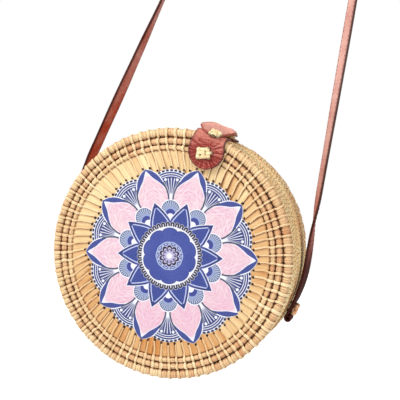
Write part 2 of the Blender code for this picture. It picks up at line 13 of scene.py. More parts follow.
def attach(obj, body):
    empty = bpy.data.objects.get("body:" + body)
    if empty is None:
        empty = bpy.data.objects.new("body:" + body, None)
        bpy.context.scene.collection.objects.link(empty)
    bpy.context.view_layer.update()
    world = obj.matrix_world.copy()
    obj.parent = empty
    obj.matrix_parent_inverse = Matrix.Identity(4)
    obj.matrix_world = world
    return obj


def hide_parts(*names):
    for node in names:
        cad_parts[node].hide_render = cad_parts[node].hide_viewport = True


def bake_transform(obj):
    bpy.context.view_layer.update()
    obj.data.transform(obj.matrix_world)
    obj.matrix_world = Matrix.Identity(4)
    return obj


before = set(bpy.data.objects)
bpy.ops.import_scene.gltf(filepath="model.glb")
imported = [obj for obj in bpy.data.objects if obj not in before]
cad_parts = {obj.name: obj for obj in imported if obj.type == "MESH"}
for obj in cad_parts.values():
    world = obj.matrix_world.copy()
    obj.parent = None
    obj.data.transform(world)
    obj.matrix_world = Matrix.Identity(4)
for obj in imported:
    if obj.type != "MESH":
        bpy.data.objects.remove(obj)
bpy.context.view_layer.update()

# How the bag hangs: tilted, with the middle of its front face at this place in the room, in metres
hang_tilt = math.radians(4)
hang = Matrix.Translation((0.005913, -0.0525, -0.563185)) @ Matrix.Rotation(hang_tilt, 4, "Y")
hang_turn = np.array(hang.to_3x3())
hang_place = np.array(hang.translation)

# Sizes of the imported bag, in millimetres. Each row has its name, middle radius, width, depth and depth of tone.
bag_depth = 80.0
ribs = 80
rows_of_face = (("ring_inner", 84.85, 4.4, 5.0, 0.05), ("ring_middle", 90.05, 5.4, 5.6, 0.18),
                ("ring_outer", 96.525, 6.95, 7.6, -0.08))

# Each half's depths from its own face: its rows, its strips, its mouth, and its wall with the number of coils
Half = namedtuple("Half", "rows strips mouth wall_start wall_end coils")
halves = {"front": Half(0.0, 0.55, 43.7, 7.9, 39.0, 4), "back": Half(0.4, 0.0, 35.7, 8.3, 31.0, 3)}

# The mouth hoops' middle radius, and depths from the front face
hoop_line = 97.8
hoop_depth = {"front": 41.5, "back": 46.5}
tie_cut = {"front": 35.6, "back": 52.4}
tie_place = 13.0
strap_depth = 52.5
chance = np.random.default_rng(11)


def in_room(points):
    """Places in the room, in metres, of points in the bag's frame in millimetres."""
    return points.reshape(-1, 3) * 0.001 @ hang_turn.T + hang_place


def about_axis(radius, depth, angle):
    """Points at a radius and depth, turned by an angle from the clasp towards +x."""
    radius, depth, angle = np.broadcast_arrays(radius, depth, angle)
    return np.stack([radius * np.sin(angle), depth, radius * np.cos(angle)], -1)


def ease(value, low, high):
    """Rises smoothly from 0 at low to 1 at high: three squares less two cubes."""
    share = np.clip((value - low) / (high - low), 0, 1)
    return share * share * (3 - 2 * share)


def bell(value, width):
    """A bell curve round 0: e to the power of minus the square of value over width."""
    return np.exp(-((value / width) ** 2))


def circle(count):
    """The angles of so many even steps round a circle."""
    return np.arange(count) / count * 2 * np.pi


def off_middle(phase):
    """0 in the middle of each whole step of a phase, and 1 at its ends."""
    return np.abs(2 * (phase % 1) - 1)


def unit(vectors):
    """The same directions with length one."""
    return vectors / (np.linalg.norm(vectors, axis=-1, keepdims=True) + 1e-12)


# Surfaces

def skin(points, around=False, along=False, first=False, last=False, tone=0.5, shade_and_edge=0.0, chart=None):
    """One skin over a grid of points, rows by columns. around joins each row's ends, along joins the
    last row to the first, first and last close it there with a fan. tone and the mark of painted shade
    and dark edges are kept on its points. Its chart runs along the rows' direction in centimetres,
    unless chart gives both numbers per point."""
    rows, cols = points.shape[:2]
    i, j = np.meshgrid(np.arange(rows if along else rows - 1), np.arange(cols if around else cols - 1), indexing="ij")
    corners = ((i, j), (i, j + 1), (i + 1, j + 1), (i + 1, j))
    quads = np.stack([(a % rows) * cols + b % cols for a, b in corners], -1).reshape(-1, 4)
    if chart is None:
        step_u = np.linalg.norm(np.roll(points, -1, 1) - points, axis=2).mean(0)
        step_v = np.linalg.norm(np.roll(points, -1, 0) - points, axis=2).mean(1)
        across = np.concatenate([[0], np.cumsum(step_u)]) * 0.1
        down = np.concatenate([[0], np.cumsum(step_v)]) * 0.1
        uv = np.stack([np.stack([across[b], down[a]], -1) for a, b in corners], 2).reshape(-1, 4, 2)
    else:
        flat = chart.reshape(-1, 2)
        uv = flat[quads]
    spots = points.reshape(-1, 3)
    marks = [np.broadcast_to(m, (rows, cols)).reshape(-1) for m in (tone, shade_and_edge)]
    fans, fan_uv = [], []
    for closed, row in ((first, 0), (last, rows - 1)):
        if not closed:
            continue
        own = row * cols + np.arange(cols)
        hub = len(spots)
        spots = np.vstack([spots, spots[own].mean(0)])
        marks = [np.append(m, m[own].mean()) for m in marks]
        after = np.roll(own, -1)
        order = (own, after) if row else (after, own)
        fans.append(np.stack([order[0], order[1], np.full(cols, hub)], -1))
        if chart is None:
            ends = np.stack([across[:cols], np.full(cols, down[row])], -1)
            tips = np.stack([across[1:cols + 1], np.full(cols, down[row])], -1)
            pair = (ends, tips) if row else (tips, ends)
            fan_uv.append(np.stack([pair[0], pair[1], (ends + tips) / 2], 1))
        else:
            hub_uv = np.broadcast_to(flat[own].mean(0), (cols, 2))
            fan_uv.append(np.stack([flat[order[0]], flat[order[1]], hub_uv], 1))
    tris = np.concatenate(fans) if fans else np.zeros((0, 3), int)
    tri_uv = np.concatenate(fan_uv) if fans else np.zeros((0, 3, 2))
    centre = spots.mean(0)
    p = spots - centre
    a, b, c, d = (p[quads[:, k]] for k in range(4))
    volume = (a * np.cross(b, c)).sum() + (a * np.cross(c, d)).sum()
    if len(tris):
        a, b, c = (p[tris[:, k]] for k in range(3))
        volume += (a * np.cross(b, c)).sum()
    if volume < 0:
        quads, uv, tris, tri_uv = quads[:, ::-1], uv[:, ::-1], tris[:, ::-1], tri_uv[:, ::-1]
    return {"spots": spots, "quads": quads, "uv": uv, "tris": tris, "tri_uv": tri_uv, "marks": marks}


def make(name, skins, material, body=None, replaces=(), placed=in_room, sharp=None):
    """One object from closed skins, smooth shaded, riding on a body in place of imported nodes."""
    base, loops, starts, charts = 0, [], [], []
    for one in skins:
        for faces, uv in ((one["quads"], one["uv"]), (one["tris"], one["tri_uv"])):
            if len(faces):
                loops.append((faces + base).reshape(-1))
                starts.append(np.full(len(faces), faces.shape[1]))
                charts.append(uv.reshape(-1, 2))
        base += len(one["spots"])
    spots = placed(np.concatenate([one["spots"] for one in skins]))
    sizes = np.concatenate(starts)
    mesh = bpy.data.meshes.new(name)
    mesh.vertices.add(len(spots))
    mesh.vertices.foreach_set("co", spots.astype(np.float32).ravel())
    mesh.loops.add(int(sizes.sum()))
    mesh.loops.foreach_set("vertex_index", np.concatenate(loops).astype(np.int32))
    mesh.polygons.add(len(sizes))
    mesh.polygons.foreach_set("loop_start", np.concatenate([[0], np.cumsum(sizes)[:-1]]).astype(np.int32))
    layer = mesh.uv_layers.new(name="strand")
    layer.data.foreach_set("uv", np.concatenate(charts).astype(np.float32).ravel())
    # the second mark carries painted shade, and the leather's dark edges
    for k, label in enumerate(("tone", "shade_and_edge")):
        mark = mesh.attributes.new(label, "FLOAT", "POINT")
        mark.data.foreach_set("value", np.concatenate([one["marks"][k] for one in skins]).astype(np.float32))
    mesh.update(calc_edges=True)
    mesh.validate()
    mesh.shade_smooth()
    if sharp:
        mesh.set_sharp_from_angle(angle=math.radians(sharp))
    mesh.materials.append(material)
    made = bpy.data.objects.new(name, mesh)
    bpy.context.scene.collection.objects.link(made)
    if body:
        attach(made, body)
    if replaces:
        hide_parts(*replaces)
    return made


def strand(path, outward, width, height, sides=8, flat=2.4, tone=0.5, shade_and_edge=0.0, ends=0.55):
    """A closed strand along a path. Across it stands a rounded oval, |x|^flat + |y|^flat = 1, as wide
    and high as told; its last points shrink to the share ends, and fans close it."""
    path, outward = np.asarray(path, float), np.asarray(outward, float)
    way = unit(np.gradient(path, axis=0))
    across = unit(np.cross(way, outward))
    up = np.cross(across, way)
    turn = np.linspace(0, 2 * np.pi, sides, endpoint=False) + np.pi / sides
    c, s = np.cos(turn), np.sin(turn)
    size = (np.abs(c) ** flat + np.abs(s) ** flat) ** (-1 / flat)
    grow = np.ones(len(path))
    grow[[0, -1]] = ends
    w = (np.broadcast_to(width, len(path)) * grow / 2)[:, None, None]
    h = (np.broadcast_to(height, len(path)) * grow / 2)[:, None, None]
    points = path[:, None] + across[:, None] * (c * size)[:, None] * w + up[:, None] * (s * size)[:, None] * h
    tone, shade_and_edge = (np.asarray(m)[:, None] if np.ndim(m) else m for m in (tone, shade_and_edge))
    return skin(points, around=True, first=True, last=True, tone=tone, shade_and_edge=shade_and_edge)


# Shader building

def shade(red, green, blue):
    """A colour as it is seen on a screen, from 0 to 255, as the light that Blender mixes."""
    part = np.array([red, green, blue]) / 255
    light = np.where(part <= 0.04045, part / 12.92, ((part + 0.055) / 1.055) ** 2.4)
    return (*[float(v) for v in light], 1.0)


class Work:
    """A node tree that is being filled. Its methods place nodes and give back what comes out of them."""

    def __init__(self, tree):
        self.tree = tree

    def add(self, kind, inputs=None, **settings):
        """Places a node. inputs gives a number, a colour or what feeds it to each named socket."""
        made = self.tree.nodes.new(kind)
        for key, value in settings.items():
            setattr(made, key, value)
        for key, value in (inputs or {}).items():
            if isinstance(value, Number):
                value = value.socket
            if isinstance(value, bpy.types.NodeSocket):
                self.tree.links.new(value, made.inputs[key])
            else:
                made.inputs[key].default_value = value
        return made

    def number(self, socket):
        return Number(self, socket)

    def mark(self, name):
        """A number that is kept on the mesh's points."""
        return self.number(self.add("ShaderNodeAttribute", attribute_name=name).outputs["Fac"])

    def noise(self, where, scale, detail=2.0, rough=0.5, twist=0.0):
        """A cloudy number round a half."""
        made = self.add("ShaderNodeTexNoise", {"Vector": where, "Scale": scale, "Detail": detail, "Roughness": rough,
                                               "Distortion": twist})
        return self.number(made.outputs["Fac"])

    def stretched(self, where, across, along, turn=0.0):
        """A chart scaled across and along, so that a noise on it is drawn out."""
        made = self.add("ShaderNodeMapping", {"Vector": where, "Scale": (across, along, 1), "Rotation": (0, 0, turn)})
        return made.outputs["Vector"]

    def mix(self, share, one, other):
        """One colour at share 0 and the other at share 1."""
        made = self.add("ShaderNodeMix", data_type="RGBA")
        for socket, value in zip([made.inputs[0], made.inputs[6], made.inputs[7]], (share, one, other)):
            if isinstance(value, Number):
                value = value.socket
            if isinstance(value, bpy.types.NodeSocket):
                self.tree.links.new(value, socket)
            else:
                socket.default_value = value
        return made.outputs[2]

    def curve(self, value, points):
        """A curve from its first point to its last, through the given points: points are (value, result)."""
        low, high = points[0][0], points[-1][0]
        share = (value - low) / (high - low)
        top = max(y for _, y in points)
        made = self.add("ShaderNodeFloatCurve", {"Value": share})
        line = made.mapping.curves[0]
        while len(line.points) < len(points):
            line.points.new(0.5, 0.5)
        for spot, (x, y) in zip(line.points, points):
            spot.location = ((x - low) / (high - low), y / top)
            spot.handle_type = "AUTO_CLAMPED"
        made.mapping.update()
        return self.number(made.outputs[0]) * top


class Number:
    """A number in a shader; sums with it place Math nodes."""

    def __init__(self, work, socket):
        self.work = work
        self.socket = socket

    def _math(self, operation, *others, clamp=False):
        """A Math node over this number and the others."""
        inputs = {0: self.socket}
        for i, value in enumerate(others):
            inputs[i + 1] = value
        made = self.work.add("ShaderNodeMath", inputs, operation=operation, use_clamp=clamp)
        return Number(self.work, made.outputs[0])

    def __add__(self, other): return self._math("ADD", other)
    def __radd__(self, other): return self._math("ADD", other)
    def __sub__(self, other): return self._math("SUBTRACT", other)
    def __rsub__(self, other): return (self * -1)._math("ADD", other)
    def __mul__(self, other): return self._math("MULTIPLY", other)
    def __rmul__(self, other): return self._math("MULTIPLY", other)
    def __truediv__(self, other): return self._math("DIVIDE", other)
    def __pow__(self, other): return self._math("POWER", other)

    def least(self, other): return self._math("MINIMUM", other)
    def most(self, other): return self._math("MAXIMUM", other)
    def size(self): return self._math("ABSOLUTE")
    def sine(self): return self._math("SINE")
    def cosine(self): return self._math("COSINE")
    def root(self): return self._math("SQRT")
    def whole(self): return self._math("ROUND")
    def clamped(self): return self._math("ADD", 0.0, clamp=True)
    def off_whole(self): return self - self.whole()
    def turn_from(self, other): return self._math("ARCTAN2", other)

    def rise(self, low, high):
        """0 below low and 1 above high."""
        return ((self - low) / (high - low)).clamped()


def shader_of(name, roughness=0.55):
    """A new material with its Work and its Principled shader."""
    made = bpy.data.materials.new(name)
    made.use_nodes = True
    made.node_tree.nodes.clear()
    work = Work(made.node_tree)
    shader = work.add("ShaderNodeBsdfPrincipled", {"Roughness": roughness})
    output = work.add("ShaderNodeOutputMaterial")
    made.node_tree.links.new(shader.outputs[0], output.inputs["Surface"])
    return made, work, shader


def group_of(name, inputs, outputs):
    """An empty node group with named sockets; inputs and outputs map names to socket kinds."""
    tree = bpy.data.node_groups.new(name, "ShaderNodeTree")
    for label, kind in inputs.items():
        tree.interface.new_socket(label, in_out="INPUT", socket_type="NodeSocket" + kind)
    for label, kind in outputs.items():
        tree.interface.new_socket(label, in_out="OUTPUT", socket_type="NodeSocket" + kind)
    work = Work(tree)
    return tree, work, work.add("NodeGroupInput"), work.add("NodeGroupOutput")


def join(work, shader, group, values, strength, distance):
    """Places a finish group in a material: its colour, roughness and height go to the shader."""
    placed = work.add("ShaderNodeGroup", node_tree=group)
    for label, value in values.items():
        placed.inputs[label].default_value = value
    bump = work.add("ShaderNodeBump", {"Strength": strength, "Distance": distance, "Height": placed.outputs["Height"]})
    links = work.tree.links
    links.new(placed.outputs["Color"], shader.inputs["Base Color"])
    links.new(placed.outputs["Roughness"], shader.inputs["Roughness"])
    links.new(bump.outputs["Normal"], shader.inputs["Normal"])
    return placed


# Finishes

def given_number(work, given, label):
    """A group's own input as a Number."""
    return work.number(given.outputs[label])


def rattan_group():
    """Split rattan: fibres along the strand, a tone of its own for each strand, and painted shade in the gaps, mixed
    towards its Shadow colour.
    """
    tree, work, given, out = group_of("rattan strand",
                                      {"Pale": "Color", "Deep": "Color", "Shadow": "Color", "Ribbing": "Float"},
                                      {"Color": "Color", "Roughness": "Float", "Height": "Float"})
    chart = work.add("ShaderNodeUVMap", uv_map="strand").outputs["UV"]
    place = work.add("ShaderNodeTexCoord").outputs["Object"]
    fibre = work.noise(work.stretched(chart, 30, 1.6), 1.0, 3.0, 0.6)
    streak = work.noise(work.stretched(chart, 7, 0.7), 1.0, 2.0, 0.5)
    stain = work.noise(place, 26.0, 2.0, 0.5)
    tone = work.mark("tone")
    shade_and_edge = work.mark("shade_and_edge")
    share = (tone * 0.62 + (fibre - 0.5) * 0.55 + (streak - 0.5) * 0.5 + (stain - 0.5) * 0.55 + 0.16).clamped()
    colour = work.mix(share, given.outputs["Pale"], given.outputs["Deep"])
    colour = work.mix(shade_and_edge.clamped() * 0.96, colour, given.outputs["Shadow"])
    roughness = 0.42 + fibre * 0.25 + shade_and_edge * 0.2
    links = tree.links
    links.new(colour, out.inputs["Color"])
    links.new(roughness.socket, out.inputs["Roughness"])
    links.new((fibre * given_number(work, given, "Ribbing")).socket, out.inputs["Height"])
    return tree


def leather_group():
    """Waxed leather: mottled dye, creases across the strip painted paler on their ridges and darker in their folds, a
    fine grain, a tone mark that also carries painted light, and dark edges that also take rows of painted shade.
    """
    tree, work, given, out = group_of("waxed leather",
                                      {"Dye": "Color", "Bright": "Color", "Edge": "Color", "Creasing": "Float"},
                                      {"Color": "Color", "Roughness": "Float", "Height": "Float"})
    chart = work.add("ShaderNodeUVMap", uv_map="strand").outputs["UV"]
    place = work.add("ShaderNodeTexCoord").outputs["Object"]
    creasing = given_number(work, given, "Creasing")
    mottle = work.noise(place, 90.0, 3.0, 0.6)
    patch = work.noise(place, 28.0, 2.0, 0.5)
    crease = work.noise(work.stretched(chart, 1.0, 5.5), 2.2, 2.5, 0.55, 0.6)
    pores = work.add("ShaderNodeTexVoronoi", {"Vector": place, "Scale": 1500.0}, feature="F1")
    grain = work.number(pores.outputs["Distance"])
    tone = work.mark("tone")
    edge = work.mark("shade_and_edge")
    # the creases' height also sets their colour: painted highlight on the ridges, painted shade in the folds
    bright = ((crease - 0.5) * creasing * 1.6 + (mottle - 0.5) * 0.7 + (patch - 0.5) * 0.9 + tone).clamped()
    colour = work.mix(bright, given.outputs["Dye"], given.outputs["Bright"])
    colour = work.mix(edge.clamped() * 0.9, colour, given.outputs["Edge"])
    roughness = 0.36 + (1.0 - bright) * 0.18 + edge * 0.1
    links = tree.links
    links.new(colour, out.inputs["Color"])
    links.new(roughness.socket, out.inputs["Roughness"])
    links.new((crease * creasing + grain * 0.16 + mottle * 0.25).socket, out.inputs["Height"])
    return tree


strand_finish = rattan_group()
leather_finish = leather_group()


def rattan(name, pale, deep, ribbing=0.7, shadow=(78, 44, 18), gloss=0.45):
    """A rattan material between two tones."""
    made, work, shader = shader_of(name)
    shader.inputs["Specular IOR Level"].default_value = gloss
    join(work, shader, strand_finish, {"Pale": shade(*pale), "Deep": shade(*deep), "Shadow": shade(*shadow),
                                       "Ribbing": ribbing}, 0.5, 0.00025)
    return made


def leather(name, dye, bright, edge, creasing, gloss=0.38):
    """A leather material between two dyes."""
    made, work, shader = shader_of(name)
    shader.inputs["Specular IOR Level"].default_value = gloss
    join(work, shader, leather_finish, {"Dye": shade(*dye), "Bright": shade(*bright), "Edge": shade(*edge),
                                        "Creasing": creasing}, 0.55, 0.0005)
    return made


rib_rattan = rattan("rib rattan", (250, 226, 172), (208, 136, 64), shadow=(146, 84, 34))
row_rattan = rattan("row rattan", (252, 222, 170), (212, 144, 92), shadow=(124, 62, 22))
binder_rattan = rattan("binder rattan", (254, 230, 184), (214, 152, 86), shadow=(158, 92, 42))
wall_rattan = rattan("wall rattan", (255, 240, 186), (255, 186, 110), shadow=(122, 56, 16), gloss=0.12)
lace_rattan = rattan("lace rattan", (253, 238, 190), (226, 180, 118), shadow=(64, 34, 14))
strap_lace_rattan = rattan("strap lace rattan", (248, 202, 156), (202, 116, 62), shadow=(60, 22, 12))
# painted shade: the dark inside of the holes in which the strands end
hole_rattan = rattan("strand holes", (60, 44, 40), (50, 36, 34), shadow=(26, 18, 22))
clasp_leather = leather("clasp leather", (138, 28, 16), (244, 158, 138), (66, 20, 18), 1.0)
# the clasp's own leather, drawn paler and with paler edges where the dish faces the light: painted light
dish_leather_lit = leather("dish leather", (150, 58, 42), (236, 168, 150), (150, 70, 58), 1.0)
# its Bright colour is also the painted light on the strand that faces the lamps
strap_leather = leather("strap leather", (162, 54, 24), (230, 177, 163), (40, 12, 9), 0.25, gloss=0.14)


def cloth_material():
    """Plain cotton: threads over and under along the chart, with slubs and soft shade in the folds."""
    made, work, shader = shader_of("lining cotton", 0.9)
    chart = work.add("ShaderNodeUVMap", uv_map="strand").outputs["UV"]
    cells = work.add("ShaderNodeSeparateXYZ", {"Vector": chart})
    thread = 2 * math.pi * 9
    warp = (work.number(cells.outputs[0]) * thread).sine()
    weft = (work.number(cells.outputs[1]) * thread).sine()
    slub = work.noise(work.stretched(chart, 2.5, 22), 1.0, 2.0)
    slub_across = work.noise(work.stretched(chart, 22, 2.5), 1.0, 2.0)
    weave = warp * weft
    share = (0.45 + (slub - 0.5) * 0.8 + (slub_across - 0.5) * 0.8 + weave * 0.1).clamped()
    colour = work.mix(share, shade(196, 176, 144), shade(226, 210, 182))
    colour = work.mix(work.mark("shade_and_edge").clamped() * 0.6, colour, shade(130, 108, 80))
    bump = work.add("ShaderNodeBump", {"Strength": 0.35, "Distance": 0.0003, "Height": weave + slub})
    work.tree.links.new(colour, shader.inputs["Base Color"])
    work.tree.links.new(bump.outputs["Normal"], shader.inputs["Normal"])
    shader.inputs["Sheen Weight"].default_value = 0.15
    return made


lining_cotton = cloth_material()


def brass_material():
    """Aged brass: cloudy tarnish in its colour and its roughness."""
    made, work, shader = shader_of("snap brass", 0.3)
    place = work.add("ShaderNodeTexCoord").outputs["Object"]
    cloud = work.noise(place, 260.0, 3.0)
    colour = work.mix(cloud, shade(214, 176, 104), shade(150, 112, 60))
    work.tree.links.new(colour, shader.inputs["Base Color"])
    work.tree.links.new((0.22 + cloud * 0.28).socket, shader.inputs["Roughness"])
    shader.inputs["Metallic"].default_value = 1.0
    return made


snap_brass = brass_material()


# The printed rosette: its size and place in millimetres, then its shader. Its chart is the print's own
# plane, 200 mm to one, centred on 0.5.

print_side, print_down, print_turn = 2.0, 0.8, math.radians(-2.25)
petal_step = math.radians(36)
# a petal's half width at each distance from the middle, and the fans between the petals
petal_edge = ((40, 11.9), (44, 12.5), (47, 13.0), (50, 13.0), (53, 12.6), (56, 11.9), (60, 10.7), (63, 9.5),
              (65.5, 8.0), (67.5, 6.3), (69.5, 3.9), (71, 1.4), (71.7, 0.0))
petal_white = 0.85
fan_middle, fan_size = 46.8, 22.35
navy = shade(48, 58, 122)
dusk = shade(70, 74, 100)
white = shade(238, 240, 250)


def rosette_material():
    """Ten petals with fans between them, round a ring of pointed leaves and a lobed disc. Every shape is
    the distance past its edge, in millimetres, in a sector folded on a petal's or a fan's middle line."""
    made, work, shader = shader_of("rosette print", 0.75)
    chart = work.add("ShaderNodeUVMap", uv_map="strand").outputs["UV"]
    cells = work.add("ShaderNodeSeparateXYZ", {"Vector": chart})
    x = (work.number(cells.outputs[0]) - 0.5) * 200
    z = (work.number(cells.outputs[1]) - 0.5) * 200
    r = (x * x + z * z).root()
    turns = x.turn_from(z) / petal_step
    off = turns.off_whole().size()
    u = r * (off * petal_step).cosine()
    v = r * (off * petal_step).sine()
    fan_turn = (0.5 - off) * petal_step
    fan_u = r * fan_turn.cosine()
    fan_v = r * fan_turn.sine()

    def ink(under, colour, past, soft=0.22):
        """Lays a colour where the distance past its edge is below 0, over a soft width."""
        return work.mix((0.5 - past / soft).clamped(), under, colour)

    def disc(pu, pv, cu, cv, radius):
        return ((pu - cu) * (pu - cu) + (pv - cv) * (pv - cv)).root() - radius

    def line(past, width):
        return past.size() - width / 2

    def both(one, other):
        return one.most(other)

    grain = work.noise(work.stretched(chart, 190, 190), 1.0, 2.0, 0.7)
    pencil_place = work.add("ShaderNodeCombineXYZ", {0: (u + v * 1.1) * 1.35, 1: (v - u * 0.2) * 0.22})
    pencil = work.noise(pencil_place.outputs[0], 1.0, 3.0, 0.6, 0.4)

    # Fans: ribs and arcs about a point on their middle line
    reach = disc(fan_u, fan_v, fan_middle, 0.0, 0.0)
    spread = fan_v.turn_from(fan_u - 44.0)
    about = fan_v.turn_from(fan_u - fan_middle)
    colour = white
    fan_ink = shade(58, 66, 124)
    colour = ink(colour, fan_ink, reach - 20.1)
    colour = ink(colour, white, line(reach - 18.5, 0.6))
    colour = ink(colour, white, line(reach - 16.8, 0.55))
    rib_step = 0.15
    rib = (spread / rib_step).off_whole().size() * reach * rib_step
    rib_edge = reach * 0.015 + 0.06
    colour = ink(colour, white, both(both(rib - rib_edge, reach - 15.2), spread.size() - 0.26))
    colour = ink(colour, white, reach - 2.6, 2.4)
    colour = ink(colour, white, disc(fan_u, fan_v, 60.6, 4.9, 1.15))
    bead_step = 0.165
    bead = disc((about / bead_step).off_whole() * (bead_step * 21.3 * 0.62), reach, 0.0, 21.35, 0.88)
    colour = ink(colour, white, 20.3 - reach)

    # Petals: a white edge, a navy band and a pencilled pink heart
    outer = work.curve(u, petal_edge)
    inner = work.curve(u, ((40, 11.6), (46, 12.2), (50, 12.4), (52, 11.9), (54, 10.9), (57, 9.1), (60, 6.8), (63, 4.1),
                           (66, 2.2), (68, 1.1), (69.6, 0.0)))
    petal = both(v - outer, u - 71.8)
    colour = ink(colour, white, petal - petal_white)
    colour = ink(colour, navy, petal)
    colour = ink(colour, work.mix(grain, shade(48, 62, 134), shade(70, 82, 152)), petal + 0.35)
    heart = both(v - inner, u - 69.7)
    colour = ink(colour, white, heart - 0.5)
    rose = work.mix(((pencil - 0.5) * 6.0 + 0.4).clamped(), shade(238, 218, 226), shade(224, 162, 188))
    wash = work.noise(work.stretched(chart, 14, 14), 1.0, 2.0)
    rose = work.mix(((wash - 0.35) * 2.0).clamped() * 0.6, rose, shade(234, 216, 214))
    rose = work.mix(((x * 0.6 - z) / 90).clamped() * 0.45, rose, shade(232, 168, 196))
    rose = work.mix(((u + v * 0.3 - 65.5) / 3.5).clamped(), rose, white)
    colour = ink(colour, rose, heart + 0.15)
    colour = ink(colour, dusk, both(both(line(v - outer, 1.5), u - 58), petal - 0.6))

    # Half-round scallops with ribs, a crescent and a white eye
    scallop = disc(fan_u, fan_v, 36.7, 0.0, 7.5)
    colour = ink(colour, white, scallop - 0.8)
    colour = ink(colour, shade(62, 72, 108), scallop)
    tooth = (fan_v.turn_from(fan_u - 34.5) / 0.21).off_whole().size()
    colour = ink(colour, shade(176, 188, 218), both((tooth - 0.31) * 1.6, scallop + 0.5))
    colour = ink(colour, shade(146, 160, 206), disc(fan_u, fan_v, 34.0, 0.0, 5.0), 1.6)
    colour = ink(colour, shade(56, 66, 142), disc(fan_u, fan_v, 33.2, 0.0, 4.2))
    colour = ink(colour, white, disc(fan_u, fan_v, 31.0, 0.0, 2.9))

    # Pointed leaves with a pale vein along each edge
    leaf_edge = work.curve(u, ((26, 8.7), (28, 8.5), (30, 7.9), (32, 7.0), (34, 6.1), (36, 5.0), (38, 3.9), (40, 2.7),
                               (42, 1.3), (44, 0.0)))
    leaf = both(v - leaf_edge, u - 44)
    colour = ink(colour, white, leaf - 0.65)
    colour = ink(colour, work.mix(u.rise(27, 33), shade(66, 76, 146), shade(42, 52, 116)), leaf)
    vein = work.curve(u, ((26, 6.8), (28, 6.4), (30, 5.6), (32, 4.8), (34, 3.8), (36, 2.7), (38, 1.6), (40, 0.4),
                          (42, 0.0)))
    colour = ink(colour, work.mix(grain, shade(42, 58, 134), shade(62, 78, 154)), both(v - vein, u - 41))
    colour = ink(colour, shade(190, 200, 236), both(line(v - vein, 0.95), u - 39.4))

    # A ring of loops, then the lobed disc
    loop_v = (turns * 4 + 0.5).off_whole() * r * math.radians(9)
    loop_up = (r - 25.4).most(0.0)
    arch = (loop_v * loop_v + loop_up * loop_up).root()
    colour = ink(colour, white, both(arch - 1.95, 22.0 - r))
    colour = ink(colour, shade(222, 216, 232), both(arch - 0.7, 22.0 - r))
    colour = ink(colour, shade(26, 24, 46), both(line(arch - 1.08, 1.35), 23.3 - r))
    lobe = ((off * math.pi).sine() ** 0.5) * 2.3 + 20.3
    colour = ink(colour, white, (r - 23.4).least(r - lobe - 1.0))
    colour = ink(colour, navy, r - lobe)
    cloth = work.mix(((wash - 0.3) * 2.2).clamped(), shade(38, 58, 142), shade(64, 79, 158))
    colour = ink(colour, work.mix(grain * 0.5, cloth, shade(84, 96, 172)), r - lobe + 0.6, 0.8)

    # The small rosette in the middle: two pale rings with dashes, then ten dark arcs about a glow
    scallop_edge = (turns * (2 * math.pi)).cosine() * 0.12
    colour = ink(colour, shade(184, 198, 230), r - 11.3 - scallop_edge)
    colour = ink(colour, shade(74, 82, 148), r - 10.6 - scallop_edge)
    dash = ((turns * 2).off_whole().size() - 0.36) * 4
    colour = ink(colour, shade(186, 200, 232), both(line(r - 9.7, 0.8), dash))
    colour = ink(colour, shade(206, 206, 236), disc(fan_u, fan_v, 6.6, 0.0, 2.5).least(r - 6.2))
    colour = ink(colour, shade(26, 24, 52), disc(fan_u, fan_v, 6.6, 0.0, 2.0))
    colour = ink(colour, shade(196, 186, 226), disc(fan_u, fan_v, 5.7, 0.0, 1.15))
    colour = ink(colour, shade(40, 34, 74), disc(u, v, 4.6, 0.0, 0.75))
    colour = ink(colour, shade(48, 42, 84), disc(fan_u, fan_v, 5.2, 0.0, 0.5))
    colour = ink(colour, shade(150, 140, 186), both(r - 4.0, 1.6 - r), 1.6)
    colour = ink(colour, white, r - 2.6, 2.4)

    # Beads round the fans, and the worn print's specks
    colour = ink(colour, shade(40, 42, 78), both(bead, petal * -1 + 0.6))
    final = work.mix((grain - 0.4).clamped() * 0.08, colour, shade(255, 255, 255))
    bump = work.add("ShaderNodeBump", {"Strength": 0.12, "Distance": 0.0001, "Height": grain})
    work.tree.links.new(final, shader.inputs["Base Color"])
    work.tree.links.new(bump.outputs["Normal"], shader.inputs["Normal"])
    return made


rosette_print = rosette_material()


# Woven faces. Bound strand by strand, so the strips and rows lean a little, here more and there less.

lean_places = np.radians([0, 12, 19, 27, 39, 56, 75, 90, 150, 180, 200, 215, 225, 236, 243, 250, 268, 290, 315, 330,
                          340, 350, 360])
lean_degrees = [10, 9, 16, 18, 13, 8, 3, 1, 2, 3, 5, 8, 13, 25, 14, 10, 11, 5, 5, 11, 17, 14, 10]


def lean(radius, angle):
    """How far, as an angle about the axis, the weave has turned clockwise at a radius, seen from the front:
    the tangent of the degrees above, times the way inwards, over the radius. The way inwards is counted from
    the inner row, 30 mm at most, with a fifth of the way from the outer row's middle."""
    inward = np.clip(84 - radius, 0, 30) + 0.2 * np.clip(96.5 - radius, -2.5, 12.5)
    return np.tan(np.radians(np.interp(angle, lean_places, lean_degrees))) * inward / np.maximum(radius, 60)


def face_depth(half, depth):
    """A depth measured from a half's own face, as a depth from the front face."""
    return depth if half == "front" else bag_depth - depth


def out_of_face(half):
    """The way out of a half's face."""
    return np.array([0.0, -1.0, 0.0]) if half == "front" else np.array([0.0, 1.0, 0.0])


